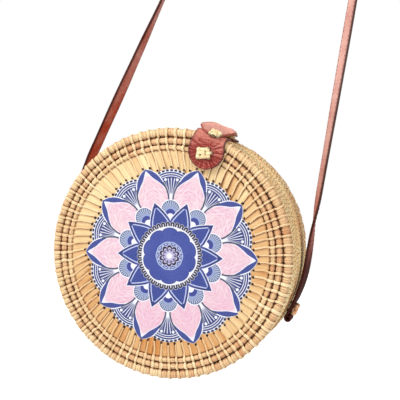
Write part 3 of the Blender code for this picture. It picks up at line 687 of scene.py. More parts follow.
def woven_face(half, counts, name):
    """Flat split strips that fan out from the middle. counts gives, from each radius on, how many strips
    go round. A strip is flat with rounded edges: 1 - |2p - 1|^5 across it, p being its own phase. The
    strips at the right and at the bottom are deeper in tone than those at the left: partly their own
    tone, partly painted shade away from the light at the upper left. Painted shade darkens their joints
    and their ends under the inner row."""
    start = halves[half].strips
    cols = ribs * 16
    angle = circle(cols)
    radii = np.array([1.2, 5, 9, 13, 17, 21, 24.5, 24.7, 28, 34, 40, 44.5, 44.7, 50, 57, 63, 66, 68, 70, 72,
                      74, 76, 78, 79.5, 80.8, 81.7, 82.3])
    depth = np.zeros((len(radii), cols))
    tone, shade_and_edge = np.zeros_like(depth), np.zeros_like(depth)
    # how deep the joints are and how dark their painted shade is, round the face, as the light falls
    joint_depth_and_shade = 1.0
    if half == "front":
        joint_depth_and_shade = np.interp(angle, np.radians([0, 20, 50, 75, 140, 160, 200, 240, 300, 330, 360]),
                           [1.0, 1.3, 1.0, 0.5, 0.4, 1.2, 1.3, 0.8, 0.5, 0.8, 1.0])
    for low, count in counts:
        rows = radii >= low
        radius = radii[rows][:, None]
        turned = angle[None] - (lean(radius, angle[None]) if half == "front" else 0)
        phase = turned * count / (2 * np.pi) + 0 * radius
        own = np.floor(phase).astype(int) % count
        share = phase % 1
        edge = off_middle(phase)
        lift = chance.normal(0, 0.1, count)[own]
        tilt = chance.normal(0, 0.10, count)[own] * (2 * share - 1)
        # under the print the strips lie flat, outside it they stand up a little
        free = ease(radius, 66, 74) if half == "front" else np.ones_like(radius)
        crown = np.where(edge > 0.86, 0.0, 1 - edge ** 5)
        low_by = 0.25 + (1 - crown) * 0.5 * joint_depth_and_shade
        depth[rows] = start + low_by - free * (0.32 * crown + np.clip(lift + tilt, -0.25, 0.22) * crown)
        middle = (np.arange(count) + 0.5) / count * 2 * np.pi
        # deeper in tone at the right and the bottom: partly the rattan's own tone, partly painted shade
        side_tone_and_shade = 0.30 + 0.22 * np.sin(middle) + 0.62 * ease(-np.cos(middle - 0.1), 0.15, 0.95)
        tone[rows] = (side_tone_and_shade + chance.normal(0, 0.16, count))[own] + (share > 0.5) * chance.normal(0, 0.12, count)[own]
        # painted shade in the joints
        dark = np.minimum(ease(edge, 0.55, 0.90) * joint_depth_and_shade, 1)
        if half == "front":
            # each strip is shaded below and right of its joint, most where it points to the upper right
            side = np.cos(angle - math.radians(35))
            beside = np.where(side > 0, share, 1 - share)
            dark = np.maximum(dark, bell(beside - 0.17, 0.10) * np.abs(side) ** 0.4 * joint_depth_and_shade * 0.8)
        # the strips' ends go down under the inner row, painted darker there as in its shade
        ends = ease(radius, 81.0, 82.2) * (0.45 + 0.55 * ease(edge, 0.1, 0.5))
        shade_and_edge[rows] = np.maximum(dark, ends)
    outer = about_axis(radii[:, None], face_depth(half, depth), angle[None])
    under_radii = np.array([82.3, 60, 30, 4])
    under = about_axis(under_radii[:, None], face_depth(half, np.full((4, cols), start + 4.0)), angle[None])
    points = np.concatenate([outer, under])
    tone = np.concatenate([tone, np.broadcast_to(tone[-1], (4, cols))])
    shade_and_edge = np.concatenate([shade_and_edge, np.full((4, cols), 0.3)])
    return make(name, [skin(points, around=True, first=True, last=True, tone=tone, shade_and_edge=shade_and_edge)], rib_rattan,
                half + "_shell", replaces=[half + "_panel"])


woven_face("front", ((0, 40), (44.6, ribs)), "front_face_strips")
woven_face("back", ((0, 20), (24.6, 40), (44.6, ribs)), "back_face_strips")


def weavers(half, rings, name):
    """Round strands that run over one strip and under the next, as in a basket's base: a ring's depth
    swings as the cosine of half as many waves as there are strips."""
    start = halves[half].strips
    section = circle(8)
    skins = []
    for k, (radius, count) in enumerate(rings):
        angle = circle(count * 6)
        swing = np.cos(angle * count / 2 + math.pi * (k % 2))
        lift = face_depth(half, start + 0.75 - 0.55 * swing)
        points = about_axis(radius + 0.95 * np.cos(section)[None], 0, angle[:, None])
        points[..., 1] = lift[:, None] + 0.6 * np.sin(section)[None]
        # painted shade where a weaver goes under a strip
        skins.append(skin(points, around=True, along=True, tone=chance.beta(2, 3),
                          shade_and_edge=(np.clip(-swing, 0, 1) * 0.8)[:, None]))
    return make(name, skins, row_rattan, half + "_shell")


base_rings = ([(4.0 + 1.9 * k, 16) for k in range(5)] + [(radius, 20) for radius in (21.0, 22.9, 24.8, 26.7)]
              + [(radius, 40) for radius in (42.6, 44.5, 46.4, 48.3)])
weavers("back", base_rings, "back_face_weavers")


# Coiled rows round the faces

def coiled_row(half, label, centre, width, depth, deepness):
    """A row of short bundles between the strands that bind it: an oval ring, pinched at each strand by a
    bell curve, each bundle with a lift of its own and six furrows round its section. The outer row is
    wrapped in thin strips instead. Painted shade where rows part, in the holes beside the strands and in
    the deepest furrows."""
    recess = halves[half].rows
    outermost = label == "ring_outer"
    cols = ribs * 14
    angle = circle(cols)
    phase = angle * ribs / (2 * np.pi)
    own = np.floor(phase).astype(int) % ribs
    share = phase % 1
    from_strand = np.minimum(share, 1 - share)
    pinch = bell(from_strand, 0.18)
    section = circle(24)
    c, s = np.cos(section), np.sin(section)
    oval = (np.abs(c) ** 2.15 + np.abs(s) ** 2.15) ** (-1 / 2.15)
    furrow = chance.uniform(0, 6, ribs)[own]
    lines = np.cos(section[:, None] * 6 + furrow[None]) * 0.16
    if outermost:
        # five strips to a bundle
        lines = (0.20 - 0.42 * off_middle(share * 5 + 0.5) ** 2)[None] + 0 * c[:, None]
    taper = chance.normal(0, 0.10, ribs)[own] * (share - 0.5)
    swell = taper[None] + lines / (width / 2) * (1 - pinch[None])
    side = chance.normal(0, 0.15, ribs)[own] * (1 - pinch)
    lift = (chance.normal(0, 0.16, ribs)[own] + 0.12) * (1 - pinch)
    radius = centre + side[None] + (c * oval)[:, None] * (1 - 0.32 * pinch[None] + swell) * (width / 2 - 0.05)
    out = (s * oval)[:, None] * (1 - 0.14 * pinch[None] + swell) * (depth / 2 - 0.15) + lift[None]
    turned = angle[None] + (lean(radius, angle[None]) if half == "front" else 0)
    points = about_axis(radius, face_depth(half, recess + depth / 2 - out), turned)
    # paler at the left: partly the rattan's own tone, partly painted light from the upper left
    side_tone_and_shade = 0.06 * np.sin(angle) - 0.20 * ease(-np.sin(angle + 0.35), 0.1, 0.8)
    tone = (chance.beta(1.2, 1.8, ribs)[own] * 0.85 + deepness + side_tone_and_shade)[None] + 0 * c[:, None]
    crack_shade = np.clip(lines / -0.16, 0, 1) ** 4 * 0.5 * (1 - pinch)
    if outermost:
        strip = np.floor(phase * 5 + 0.5).astype(int) % (ribs * 5)
        tone = tone + chance.normal(0, 0.14, ribs * 5)[strip][None]
    flank_shade = ease(np.abs(c), 0.52, 0.86)[:, None] * (0.45 + 0.55 * bell(from_strand - 0.2, 0.22))[None]
    hole = ease(np.abs(c), 0.40, 0.75)[:, None] * bell(from_strand - 0.2, 0.07)[None]
    # a strand shades the bundle beside it, more on its clockwise side
    beside = 0.75 * bell(share - 0.215, 0.045) + 0.4 * bell(share - 0.80, 0.04)
    shade_and_edge = np.maximum(np.maximum(flank_shade, hole), np.maximum(crack_shade, beside[None]))
    if outermost:
        # its outer flank is open to the light, so it takes less painted shade; at the right it is deeper in tone, with
        # dark specks of painted shade
        shade_and_edge[c > 0.3] *= 0.35
        right = ease(np.sin(angle), 0.3, 0.9)
        tone = tone + 0.22 * right[None]
        shade_specks = (right * bell(from_strand - 0.22, 0.08))[None] * ease(c, 0.35, 0.7)[:, None]
        shade_and_edge = np.maximum(shade_and_edge, 0.7 * shade_specks)
    if half == "front" and label != "ring_inner":
        # at the left, painted shade beside the strands, where the bundles lie deep
        left = ease(-np.sin(angle + 0.25), 0.1, 0.7)
        patch = 0.82 * bell(share - 0.28, 0.10) + 0.5 * bell(share - 0.78, 0.06)
        shade_and_edge = np.maximum(shade_and_edge, (left * patch)[None] * (1 - 0.6 * ease(c, 0.5, 0.95))[:, None])
    if label == "ring_inner":
        shade_and_edge[c < -0.3] *= 0.75
    ring = skin(points.transpose(1, 0, 2), around=True, along=True, tone=tone.T, shade_and_edge=shade_and_edge.T)
    return make(half + "_" + label + "_bundles", [ring], row_rattan, half + "_shell",
                replaces=[half + "_" + label])


for half in halves:
    for row in rows_of_face:
        coiled_row(half, *row)


# The print: petals as wide as petal_edge says, with round fans between them

def print_reach(angle):
    """How far the print reaches at an angle from its own first petal: the farthest point that is within
    a petal or a fan, with their white edges."""
    half_width = np.array(petal_edge)
    off = np.abs((angle / petal_step + 0.5) % 1 - 0.5) * petal_step
    reach = np.linspace(60, 73, 521)[:, None]
    u, v = reach * np.cos(off)[None], reach * np.sin(off)[None]
    fan = petal_step / 2 - off[None]
    in_petal = v < np.interp(u, half_width[:, 0], half_width[:, 1], right=-1) + petal_white
    in_fan = np.hypot(reach * np.cos(fan) - fan_middle, reach * np.sin(fan)) < fan_size
    return np.where(in_petal | in_fan, reach, 60).max(0)


def on_face(u, v):
    """The bag's x and z of a point of the print's own plane, which is turned and a little off centre."""
    c, s = math.cos(print_turn), math.sin(print_turn)
    return u * c + v * s + print_side, v * c - u * s - print_down


def printed_rosette():
    """A sheet over the strips: rings of points at shares of the print's reach, out over its top, round its
    thin edge and back below. The strips under it show through as a cosine of the angle."""
    angle = circle(1440)
    reach = print_reach(angle)
    share = np.array([0.02, 0.25, 0.5, 0.7, 0.85, 0.95, 0.995, 1.0, 0.995, 0.5, 0.02])
    depth = np.array([0.36, 0.36, 0.36, 0.36, 0.36, 0.36, 0.40, 0.55, 0.70, 0.70, 0.70])
    u = share[:, None] * (reach * np.sin(angle))[None]
    v = share[:, None] * (reach * np.cos(angle))[None]
    x, z = on_face(u, v)
    on_top = (np.arange(len(share)) < 7) & (share > 0.4)
    ridge = np.cos(np.arctan2(x, z) * ribs) * 0.05 * on_top[:, None]
    points = np.stack([x, depth[:, None] - ridge, z], -1)
    chart = np.stack([u / 200 + 0.5, v / 200 + 0.5], -1)
    return make("rosette_print", [skin(points, around=True, first=True, last=True, chart=chart)], rosette_print,
                "front_shell", replaces=["mandala_print"])


rosette = printed_rosette()


# Thin strands that bind the face: from a hole past the print, over the strips and the rows, to the wall

holes_at = 72.0


def binder_start(half, angle):
    """The radius at which a strand comes out of the face: just past the print, or at 51 mm on the back."""
    if half == "back":
        return np.full_like(angle, 51.0)
    x, z = np.sin(angle) * 70 - print_side, np.cos(angle) * 70 + print_down
    own = np.arctan2(x, z) - print_turn
    u, v = print_reach(own) * np.sin(own), print_reach(own) * np.cos(own)
    x, z = on_face(u, v)
    return np.hypot(x, z) + 1.9


def binders(half, name):
    """One strand per strip, along a path of radius and depth. It runs along the strips' joint, dips between
    the rows, is pressed into each row's pinch and goes down the outside of the outer row."""
    recess, start = halves[half].rows, halves[half].strips
    skins = []
    angles = circle(ribs)
    firsts = binder_start(half, angles + (lean(holes_at, angles) if half == "front" else 0))
    over_rows = np.array([(82.4, 1.1), (83.4, 0.3), (84.85, -0.1), (86.3, 0.35), (87.25, 1.7), (88.2, 0.4),
                          (90.05, -0.1), (91.9, 0.4), (92.95, 1.9), (94.0, 0.6), (96.5, -0.1), (98.6, 0.75),
                          (99.9, 2.3), (100.5, 4.0), (100.4, 6.0), (99.7, 7.9), (98.6, 8.6)])
    fine = np.linspace(0, len(over_rows) - 1, 57)
    row_radius = np.interp(fine, np.arange(len(over_rows)), over_rows[:, 0])
    row_depth = np.interp(fine, np.arange(len(over_rows)), over_rows[:, 1]) + recess
    if half == "back":
        row_radius = row_radius - 0.5 * ease(row_radius, 98, 100)
    for angle, first in zip(angles, firsts):
        lead = np.linspace(first, 81.6, 14)
        radius = np.concatenate([[first - 0.5, first - 0.25], lead, row_radius])
        depth = np.concatenate([[start + 1.5, start + 0.8], np.full(14, start + 0.12), row_depth])
        depth[2] += 0.25
        wander = np.interp(radius, [40, 60, 70, 78, 86, 94, 110], chance.normal(0, 0.28, 7))
        # a little above the joint, so that its dark line shows below the strand
        wander = wander - (0.75 * math.sin(angle) + 0.2) * (1 - ease(radius, 79, 84))
        if half == "front":
            wander = wander + lean(radius, angle) * radius
        # drawn a little to one side on each row, as a strand that is looped round the rows one by one
        aside = chance.normal(0, 0.5, 3)
        wander = wander + np.interp(radius, [82.4, 84.85, 87.3, 90.05, 93, 96.5, 101],
                                    [0, aside[0], 0, aside[1], 0, aside[2], 0])
        path = about_axis(radius, face_depth(half, depth), angle + wander / radius)
        # out of the surface: the path's way turned a quarter, from outwards to out of the face
        way = unit(np.gradient(np.stack([radius, -depth], -1), axis=0))
        radial = np.array([math.sin(angle), 0.0, math.cos(angle)])
        outward = radial[None] * -way[:, 1:] + out_of_face(half)[None] * way[:, :1]
        wide = np.interp(radius, [60, 80, 83, 92, 96, 101], [1.2, 1.45, 2.2, 2.3, 2.4, 2.3]) * chance.normal(1, 0.12)
        # a lot of thinner strands at the upper right
        thin = bell(angle - math.radians(45), math.radians(33)) * ease(radius, 80, 84)
        wide = wide * (1 - 0.32 * thin)
        # painted shade where the strand dips deep between the rows, and dark at its start in its hole
        dark = np.concatenate([np.zeros(16), 0.85 * ease(row_depth - recess, 0.7, 1.6) * (row_radius < 95)])
        dark[:3] = (1.0, 0.9, 0.3)
        # on the strips, deeper in tone at the right and the bottom as the strips are: partly painted shade
        on_strips = 0.28 + 0.15 * math.sin(angle) + 0.3 * max(-math.cos(angle), 0)
        tone = np.where(radius < 82, on_strips, 0.22) + chance.normal(0, 0.13)
        skins.append(strand(path, outward, wide, 0.72, flat=2.8, tone=tone, shade_and_edge=dark))
    return make(name, skins, binder_rattan, half + "_shell")


binders("front", "front_face_binders")
binders("back", "back_face_binders")


def binder_holes():
    """The small holes in which the strands end, drawn as dark shallow lenses on the strips: painted shade for each
    hole's inside, four rings each.
    """
    skins = []
    ring = circle(12)
    for angle in circle(ribs):
        angle = angle + lean(holes_at, angle) + chance.normal(0, 0.15) / 70
        first = binder_start("front", np.array([angle]))[0]
        centre = about_axis(first - 0.35, 0.50, angle)
        size = chance.uniform(0.75, 1.05)
        rows = [centre + np.stack([np.cos(ring) * size * w, np.full(12, d), np.sin(ring) * size * w], -1)
                for w, d in ((0.4, -0.12), (0.85, -0.06), (1.0, 0.1), (0.9, 0.5))]
        skins.append(skin(np.array(rows), around=True, first=True, last=True, tone=0.8, shade_and_edge=1.25))
    return make("front_face_holes", skins, hole_rattan, "front_shell")


binder_holes()


# Walls of stitched coils, and the mouth hoops

def low_right(angle):
    """1 low on the bag's right side, where painted shade darkens the mouth's edges most, and 0 elsewhere."""
    return ease(np.sin(angle), 0.45, 0.9) * ease(-np.cos(angle), -0.4, 0.0)


def stitched_wall(half, name):
    """Coils side by side, wrapped in slanting stitches: each coil is a rounded band, and across it runs a
    ridge for each stitch, 1 - |2p - 1|^3 of its own phase p, with a start of its own for each coil. Dots
    of painted shade lie between the stitches in two courses to a coil, half a stitch apart, with fainter
    painted shade in the grooves between stitches and between the coils."""
    low, high, count = halves[half].wall_start, halves[half].wall_end, halves[half].coils
    stitches = 184
    cols = stitches * 7
    angle = circle(cols)
    pitch = (high - low) / count
    steps = 12
    slant = 1.25 if half == "front" else -1.25
    rows, tones, gaps = [], [], []
    wobble = 0.35 * np.sin(angle * 3 + 1) + 0.2 * np.sin(angle * 7)
    for coil in range(count):
        offset = chance.uniform(0, 1)
        uneven = np.interp(angle, np.linspace(0, 2 * np.pi, 41), np.append(chance.normal(0, 0.35, 40), 0))
        tone_of = chance.beta(0.7, 1.5, stitches) * 1.1
        raise_of = chance.normal(0, 0.10, stitches)
        for step in range(steps):
            share = (step + 0.5) / steps
            phase = angle * stitches / (2 * np.pi) + slant * (share - 0.5) + offset + uneven
            own = np.floor(phase).astype(int) % stitches
            across = off_middle(phase)
            band = 1 - np.abs(2 * share - 1) ** 3
            ridge = 1 - across ** 3
            radius = 99.05 + 0.62 * band + (0.85 * ridge - 0.60) * (0.4 + 0.6 * band) + raise_of[own] * ridge
            rows.append((radius, low + (coil + share) * pitch + 0.1 * wobble))
            tones.append(tone_of[own])
            # the second course is half a stitch on, and dots lie inside each course
            in_course = ease(off_middle(2 * share), 0.12, 0.6)
            dots = ease(off_middle(phase + 0.5 * (share > 0.5)), 0.44, 0.70) * in_course
            seam = ease(abs(2 * share - 1), 0.45, 0.8)
            gaps.append(np.maximum(np.maximum(dots * 0.96, ease(across, 0.6, 0.95) * 0.3), seam * 0.12))
    # the coils' ends, rounded over and painted dark as in shade, and the wall's inside
    end = np.full(cols, 98.9)
    rows = [(end * 0.99, np.full(cols, low))] + rows
    rows += [(end, np.full(cols, high - 0.02)), (end * 0.975, np.full(cols, high))]
    rows += [(np.full(cols, 95.5), np.full(cols, depth)) for depth in (high, (low + high) / 2, low)]
    radius = np.array([r for r, _ in rows])
    deep = np.clip(np.array([depth for _, depth in rows]), low, high)
    tone = np.array([tones[0]] + tones + [tones[-1]] * 5)
    shade_and_edge = np.array([np.full(cols, 0.8)] + gaps + [np.full(cols, 0.9)] * 2 + [np.full(cols, 0.3)] * 3)
    if half == "front":
        # painted shade along the mouth, low on the right
        shade_and_edge = np.maximum(shade_and_edge, 1.04 * ease(deep, 31.5, 34.5) * low_right(angle)[None])
    # notches at the bottom, in which the ties run
    notch = (np.abs(np.abs(np.sin(angle) * 100) - tie_place) < 1.35) & (np.cos(angle) < 0)
    deep[:, notch] = low + (deep[:, notch] - low) * (face_depth(half, tie_cut[half]) - low) / (high - low)
    points = about_axis(radius, face_depth(half, deep), angle[None])
    return make(name, [skin(points, around=True, along=True, tone=tone, shade_and_edge=shade_and_edge)], wall_rattan, half + "_shell",
                replaces=[half + "_wall"])


stitched_wall("front", "front_wall_coils")
stitched_wall("back", "back_wall_coils")


def wrapped_hoop(half, name):
    """A hoop wrapped in slanting strips: a ring whose radius swells by 1 - |2p - 1|^3 in each. It is drawn
    deeper than round, so that no daylight shows between the halves. Painted shade where it faces the
    other hoop, between its strips, and low on the right, more on the front hoop."""
    wraps = 210
    deeper = 1.11
    angle = circle(wraps * 6)[:, None]
    section = circle(14)[None]
    phase = angle * wraps / (2 * np.pi) + section / (2 * np.pi)
    across = off_middle(phase)
    own = np.floor(phase).astype(int) % wraps
    radius = 1.92 + 0.24 * (1 - across ** 3) + chance.normal(0, 0.03, wraps)[own]
    depth = hoop_depth[half] + deeper * radius * np.sin(section)
    points = about_axis(hoop_line + radius * np.cos(section), depth, angle)
    facing = np.sin(section) if half == "front" else -np.sin(section)
    shade_and_edge = np.maximum(ease(across, 0.7, 1.0) * 0.6, ease(facing, 0.55, 1.0) * np.ones_like(phase) * 0.75)
    shade_and_edge = np.maximum(shade_and_edge, (0.95 if half == "front" else 0.35) * low_right(angle))
    ring = skin(points, around=True, along=True, tone=chance.beta(2, 2.6, wraps)[own], shade_and_edge=shade_and_edge)
    return make(name, [ring], wall_rattan, half + "_shell", replaces=[half + "_mouth_hoop"])


wrapped_hoop("front", "front_hoop_wraps")
wrapped_hoop("back", "back_hoop_wraps")


def hinge_tie(side, place):
    """A rattan wire round both hoops: half circles about each of them, joined by straight runs."""
    turn = np.linspace(np.pi / 2, np.pi * 1.5, 17)
    about_hoop = 4.507 * np.stack([np.cos(turn), np.sin(turn)], -1)
    line = np.concatenate([(hoop_depth["front"], -hoop_line) + about_hoop,
                           (hoop_depth["back"], -hoop_line) - about_hoop])
    out = unit(line - (44.0, -hoop_line))
    ring = circle(10)
    rough = 1 + 0.03 * np.sin(np.arange(len(line)))[:, None]
    points = np.zeros((len(line), len(ring), 3))
    points[..., 0] = place + np.cos(ring)[None] * rough
    points[..., 1:] = line[:, None] + out[:, None] * (np.sin(ring)[None] * rough)[..., None]
    return make("hinge_tie_wire_" + side, [skin(points, around=True, along=True, tone=0.5)], lace_rattan, "back_shell",
                replaces=["hinge_tie_" + side])


hinge_tie("left", -tie_place)
hinge_tie("right", tie_place)


# Cloth linings

def lining(half, floor, name):
    """A stretched cloth shell: floor, sloping edge, wall and hem. Its seen side is drawn in by soft folds,
    sines of the angle whose phase wanders, by up to 0.7 mm."""
    angle = circle(360)
    lip = halves[half].mouth - 0.6
    seen = [(radius, floor + 0.8) for radius in (3, 20, 40, 60, 76, 86, 90.2)]
    seen += [(92.5, floor + 2.8), (94.4, floor + 5.0)]
    seen += [(94.4, depth) for depth in np.linspace(floor + 9, lip - 5, 7)]
    seen += [(94.35, lip - 3.4), (94.0, lip - 3.1), (94.0, lip - 1.2), (94.3, lip)]
    hem = len(seen) - 4
    hidden = [(95.2, lip), (95.2, lip - 8), (95.2, floor + 4.2), (91.0, floor), (60, floor), (3, floor)]
    seen, hidden = np.array(seen), np.array(hidden)
    folds = np.sin(angle * 31 + 2.2 * np.sin(angle * 3 + 1) + 1.3 * np.sin(angle * 5)) * 0.5 + 0.5
    broad = np.sin(angle * 11 + 1.5 * np.sin(angle * 2)) * 0.5 + 0.5
    along = np.arange(len(seen)) / (len(seen) - 1)
    slack = np.sin(np.pi * np.clip((along - 0.35) / 0.55, 0, 1))[:, None]
    radius = seen[:, :1] - slack * (0.35 * folds + 0.35 * broad)[None]
    on_floor = (ease(seen[:, 0], 10, 70) * (1 - ease(seen[:, 0], 86, 91)))[:, None]
    rise = on_floor * (0.25 * broad + 0.15 * folds)[None]
    inner = about_axis(radius, face_depth(half, seen[:, 1:] + rise), angle[None])
    outer = about_axis(hidden[:, :1] + 0 * angle[None], face_depth(half, hidden[:, 1:] + 0 * angle[None]), angle[None])
    # painted shade in the folds' hollows, and a dark line of it at the hem's fold
    shade_and_edge = np.concatenate([slack * (1 - folds)[None] * 0.35, np.zeros((len(hidden), len(angle)))])
    shade_and_edge[hem] = 0.8
    # notches at the bottom, in which the ties run
    points = np.concatenate([inner, outer])
    notch = (np.abs(np.abs(points[..., 0]) - tie_place) < 1.5) & (points[..., 2] < -80)
    short_of = np.minimum if half == "front" else np.maximum
    points[..., 1] = np.where(notch, short_of(points[..., 1], tie_cut[half]), points[..., 1])
    made = make(name, [skin(points, around=True, first=True, last=True, shade_and_edge=shade_and_edge)], lining_cotton, half + "_shell",
                replaces=[half + "_lining"])
    return made


lining("front", 6.0, "front_lining_cloth")
lining("back", 6.4, "back_lining_cloth")


# Leather

def strip_places(count, rounding):
    """Round a leather strip's section, from its left edge over the top, the right edge and back below: the
    place across from -1 to 1, how far past the flat faces, and the height from -1 to 1."""
    turn = np.linspace(np.pi / 2, -np.pi / 2, rounding + 2)[1:-1]
    flat = np.linspace(-1, 1, count)
    place = np.concatenate([flat, np.ones(rounding), flat[::-1], -np.ones(rounding)])
    side = np.concatenate([np.zeros(count), np.cos(turn), np.zeros(count), -np.cos(turn)])
    height = np.concatenate([np.ones(count), np.sin(turn), -np.ones(count), -np.sin(turn)])
    return place, side, height


def leather_skin(path, outward, across, half_width, thickness, bend=None, emboss=None, tone=0.5, warp=None, count=25,
                 rounding=3, painted_shade=0.0):
    """A leather strip round a middle line: flat faces with half-round edges. bend(x, row) moves both faces
    out and emboss(x, row) the outer one, in millimetres; x is the place across the strip. The edges are
    marked so that they take the edge colour, and so are rows of painted shade."""
    place, side, height = strip_places(count, rounding)
    edge = np.where(side == 0, np.abs(place) ** 14 * 0.55, 1.0)
    rows = len(path)
    thick = np.full(rows, thickness) * np.interp(np.arange(rows), [0, 1, 2, rows - 3, rows - 2, rows - 1],
                                                 [0.45, 0.85, 1, 1, 0.85, 0.45])
    body = np.maximum(half_width - thick / 2, 0.05)
    x = place[None] * body[:, None] + side[None] * thick[:, None] / 2
    row = np.broadcast_to(np.arange(rows)[:, None], x.shape)
    out = height[None] * thick[:, None] / 2
    if bend is not None:
        out = out + bend(x, row)
    if emboss is not None:
        out = out + emboss(x, row) * np.clip(height, 0, 1)[None]
    points = path[:, None] + across[:, None] * x[..., None] + outward[:, None] * out[..., None]
    if warp is not None:
        points = warp(points)
    ends = np.zeros(rows)
    ends[[0, 1, -2, -1]] = (1, 0.8, 0.8, 1)
    shade_and_edge = np.maximum(np.maximum(edge[None], ends[:, None]), np.broadcast_to(painted_shade, rows)[:, None])
    return skin(points, around=True, first=True, last=True, tone=tone, shade_and_edge=shade_and_edge)


def lying(rows):
    """The ways across and out of so many rows of a strip that lies flat in the bag's plan."""
    return np.tile([1.0, 0, 0], (rows, 1)), np.tile([0, 0, 1.0], (rows, 1))


def swirl(angle, waves, seed):
    """Uneven waves round a circle: a sine of the angle whose phase wanders with two slower sines."""
    return np.sin(angle * waves + 1.6 * np.sin(angle * 3 + seed) + 1.1 * np.sin(angle * 5 + 2 * seed))


# Face tab: disc, neck over the rim, tail on the wall

def face_tab():
    """The leather's middle line goes up the face, in a quarter circle over the rim and back along the wall.
    Its half width is a circle's round the disc and the neck's from there on. Creases spread from the knot."""
    tab_z, tab_radius, neck, fold, fold_radius = 88.2, 14.9, 13.0, 96.5, 4.7
    rise = np.concatenate([tab_z - tab_radius * np.cos(np.linspace(0.06, math.pi / 2, 44)),
                           np.linspace(tab_z, fold, 26)[1:]])
    bend_turn = np.linspace(math.pi, math.pi / 2, 14)[1:]
    y = np.concatenate([np.full(len(rise), -1.2), 3.5 + fold_radius * np.cos(bend_turn),
                        np.linspace(3.5, 18.2, 18)[1:]])
    z = np.concatenate([rise, fold + fold_radius * np.sin(bend_turn), np.full(17, 101.2)])
    path = np.stack([-1.3 * ease(z, 86, 98), y, z], -1)
    way = unit(np.gradient(np.stack([0 * y, y, z], -1), axis=0))
    across = np.tile([1.0, 0, 0], (len(path), 1))
    outward = np.cross(across, way)
    outward *= np.where(outward[:, 1:2] * -1 + outward[:, 2:] > 0, 1, -1)
    half = np.sqrt(np.clip(tab_radius ** 2 - (z - tab_z) ** 2, 0, None))
    half = np.where(z < tab_z, half, tab_radius - (tab_radius - neck) * ease(z, tab_z, 101))
    half[-4:] = neck * np.array([0.97, 0.9, 0.75, 0.5])

    def about_knot(x, row):
        up = z[row] - tab_z + 1.5
        return np.hypot(x + 1, up), np.arctan2(x + 1, up)

    def creases(x, row):
        """Uneven waves round the knot, gone beside it and over the rim."""
        far, turn = about_knot(x, row)
        waves = swirl(turn, 23, 1.0) * 0.6 + swirl(turn, 37, 2.0) * 0.4
        return waves * ease(far, 6.5, 9) * (1 - ease(z[row], 93, 99))

    def bend(x, row):
        far, turn = about_knot(x, row)
        curl = ease(np.hypot(x, z[row] - tab_z), 10, 14.9) * (0.65 + 0.35 * np.sin(turn * 3 + 1))
        return (1 - ease(z[row], 88, 97)) * curl + 0.25 * ease(far, 4, 10)

    def emboss(x, row):
        groove = bell(np.hypot(x, z[row] - tab_z) - 13.2, 0.7) * (1 - ease(z[row], 92, 97))
        return 0.42 * creases(x, row) - 0.3 * groove

    count, rounding = 61, 3
    place = strip_places(count, rounding)[0]
    row = np.arange(len(z))[:, None] + np.zeros((1, len(place)), int)
    # painted highlight: paler up over the fold at the rim and along the tail, and on the creases' ridges
    tone = (0.16 + 0.50 * ease(z, 91, 101) + 0.1 * ease(y, 4, 10))[:, None]
    tone = tone + 0.24 * creases(place[None] * half[:, None], row)
    return leather_skin(path, outward, across, half, 1.8, bend, emboss, tone=tone, count=count, rounding=rounding)


make("clasp_face_tab_leather", [face_tab()], clasp_leather, "front_shell", replaces=["clasp_front_tab"])


# Dish on the rim and the flap that goes on from it over the mouth

def dish_and_flap():
    """The middle of the leather over the plan: a dish that slopes up to the back, with its right side and
    its back curled up, then the flap, which comes down from the dish's back edge to the stud."""
    dish_y, dish_radius, root_half, end_half, stud_y = 11.2, 14.0, 6.5, 6.2, 52.3
    y = np.concatenate([dish_y - dish_radius * np.cos(np.linspace(0.05, math.pi * 0.86, 56)),
                        np.linspace(24.5, 51.8, 46),
                        stud_y + end_half * np.sin(np.linspace(0.0, math.pi / 2 - 0.05, 16))])
    path = np.stack([-1.0 * (1 - ease(y, 14, 30)), y, 0 * y], -1)
    across, outward = lying(len(y))
    round_part = (np.sqrt(np.clip(dish_radius ** 2 - (y - dish_y) ** 2, 0, None))
                  + 0.5 * ease(y, 2, 8) * (1 - ease(y, 15, 21)))
    end = np.sqrt(np.clip(end_half ** 2 - np.clip(y - stud_y, 0, None) ** 2, 0, None))
    strip = np.minimum(root_half + (end_half - root_half) * ease(y, 30, 46), end)
    half = np.where(y < dish_y, round_part, np.maximum(round_part, strip))

    def height(x, depth):
        """The dish's slope and curl, going over into the flap, which falls to the stud."""
        far = np.hypot(x, depth - dish_y)
        turn = np.arctan2(x, depth - dish_y)
        edge = np.clip((far - 8.0) / (dish_radius - 8.0), 0, 1.1) ** 2
        curl = edge * (0.5 + 2.1 * ease(x, 2, 14) * (1 - ease(depth, 14, 22)) + 1.2 * ease(depth, 15, 23)
                       - 1.0 * (1 - ease(depth, -1, 5)))
        dish = 103.05 + 0.245 * (depth - 1) + curl + 0.06 * swirl(turn, 9, 0.5) * ease(far, 8, 13)
        flap = 108.6 + 0.2 * ease(depth, 25, 32) - 3.1 * ease(depth, 32.2, 44.5)
        flap = flap - 0.5 * (x / 7) ** 2 * ease(depth, 25, 34) * (1 - ease(depth, 40, 47))
        flap = flap + 0.08 * np.sin(depth * 1.1 + x * 0.4) * ease(depth, 26, 30) * (1 - ease(depth, 40, 46))
        over = ease(depth, 21.5, 27)
        return dish * (1 - over) + flap * over

    def bend(x, row):
        return height(x, y[row])

    def emboss(x, row):
        far = np.hypot(x, y[row] - dish_y + 3)
        turn = np.arctan2(x, y[row] - dish_y + 3)
        calm = 1 - ease(np.hypot(x, y[row] - dish_y), 11, 13.5)
        return 0.26 * swirl(turn, 23, 3.0) * ease(far, 6, 9) * (1 - ease(y[row], 22, 28)) * calm

    # painted highlight: paler over the dish, which faces the light, and up its curled back; the flap is darker
    tone = np.interp(y, [-3, 0, 14, 24, 30, 62], [0.45, 0.7, 0.95, 0.9, 0.3, 0.2])[:, None]
    return leather_skin(path, outward, across, half, 1.8, bend, emboss, tone=tone, count=45)


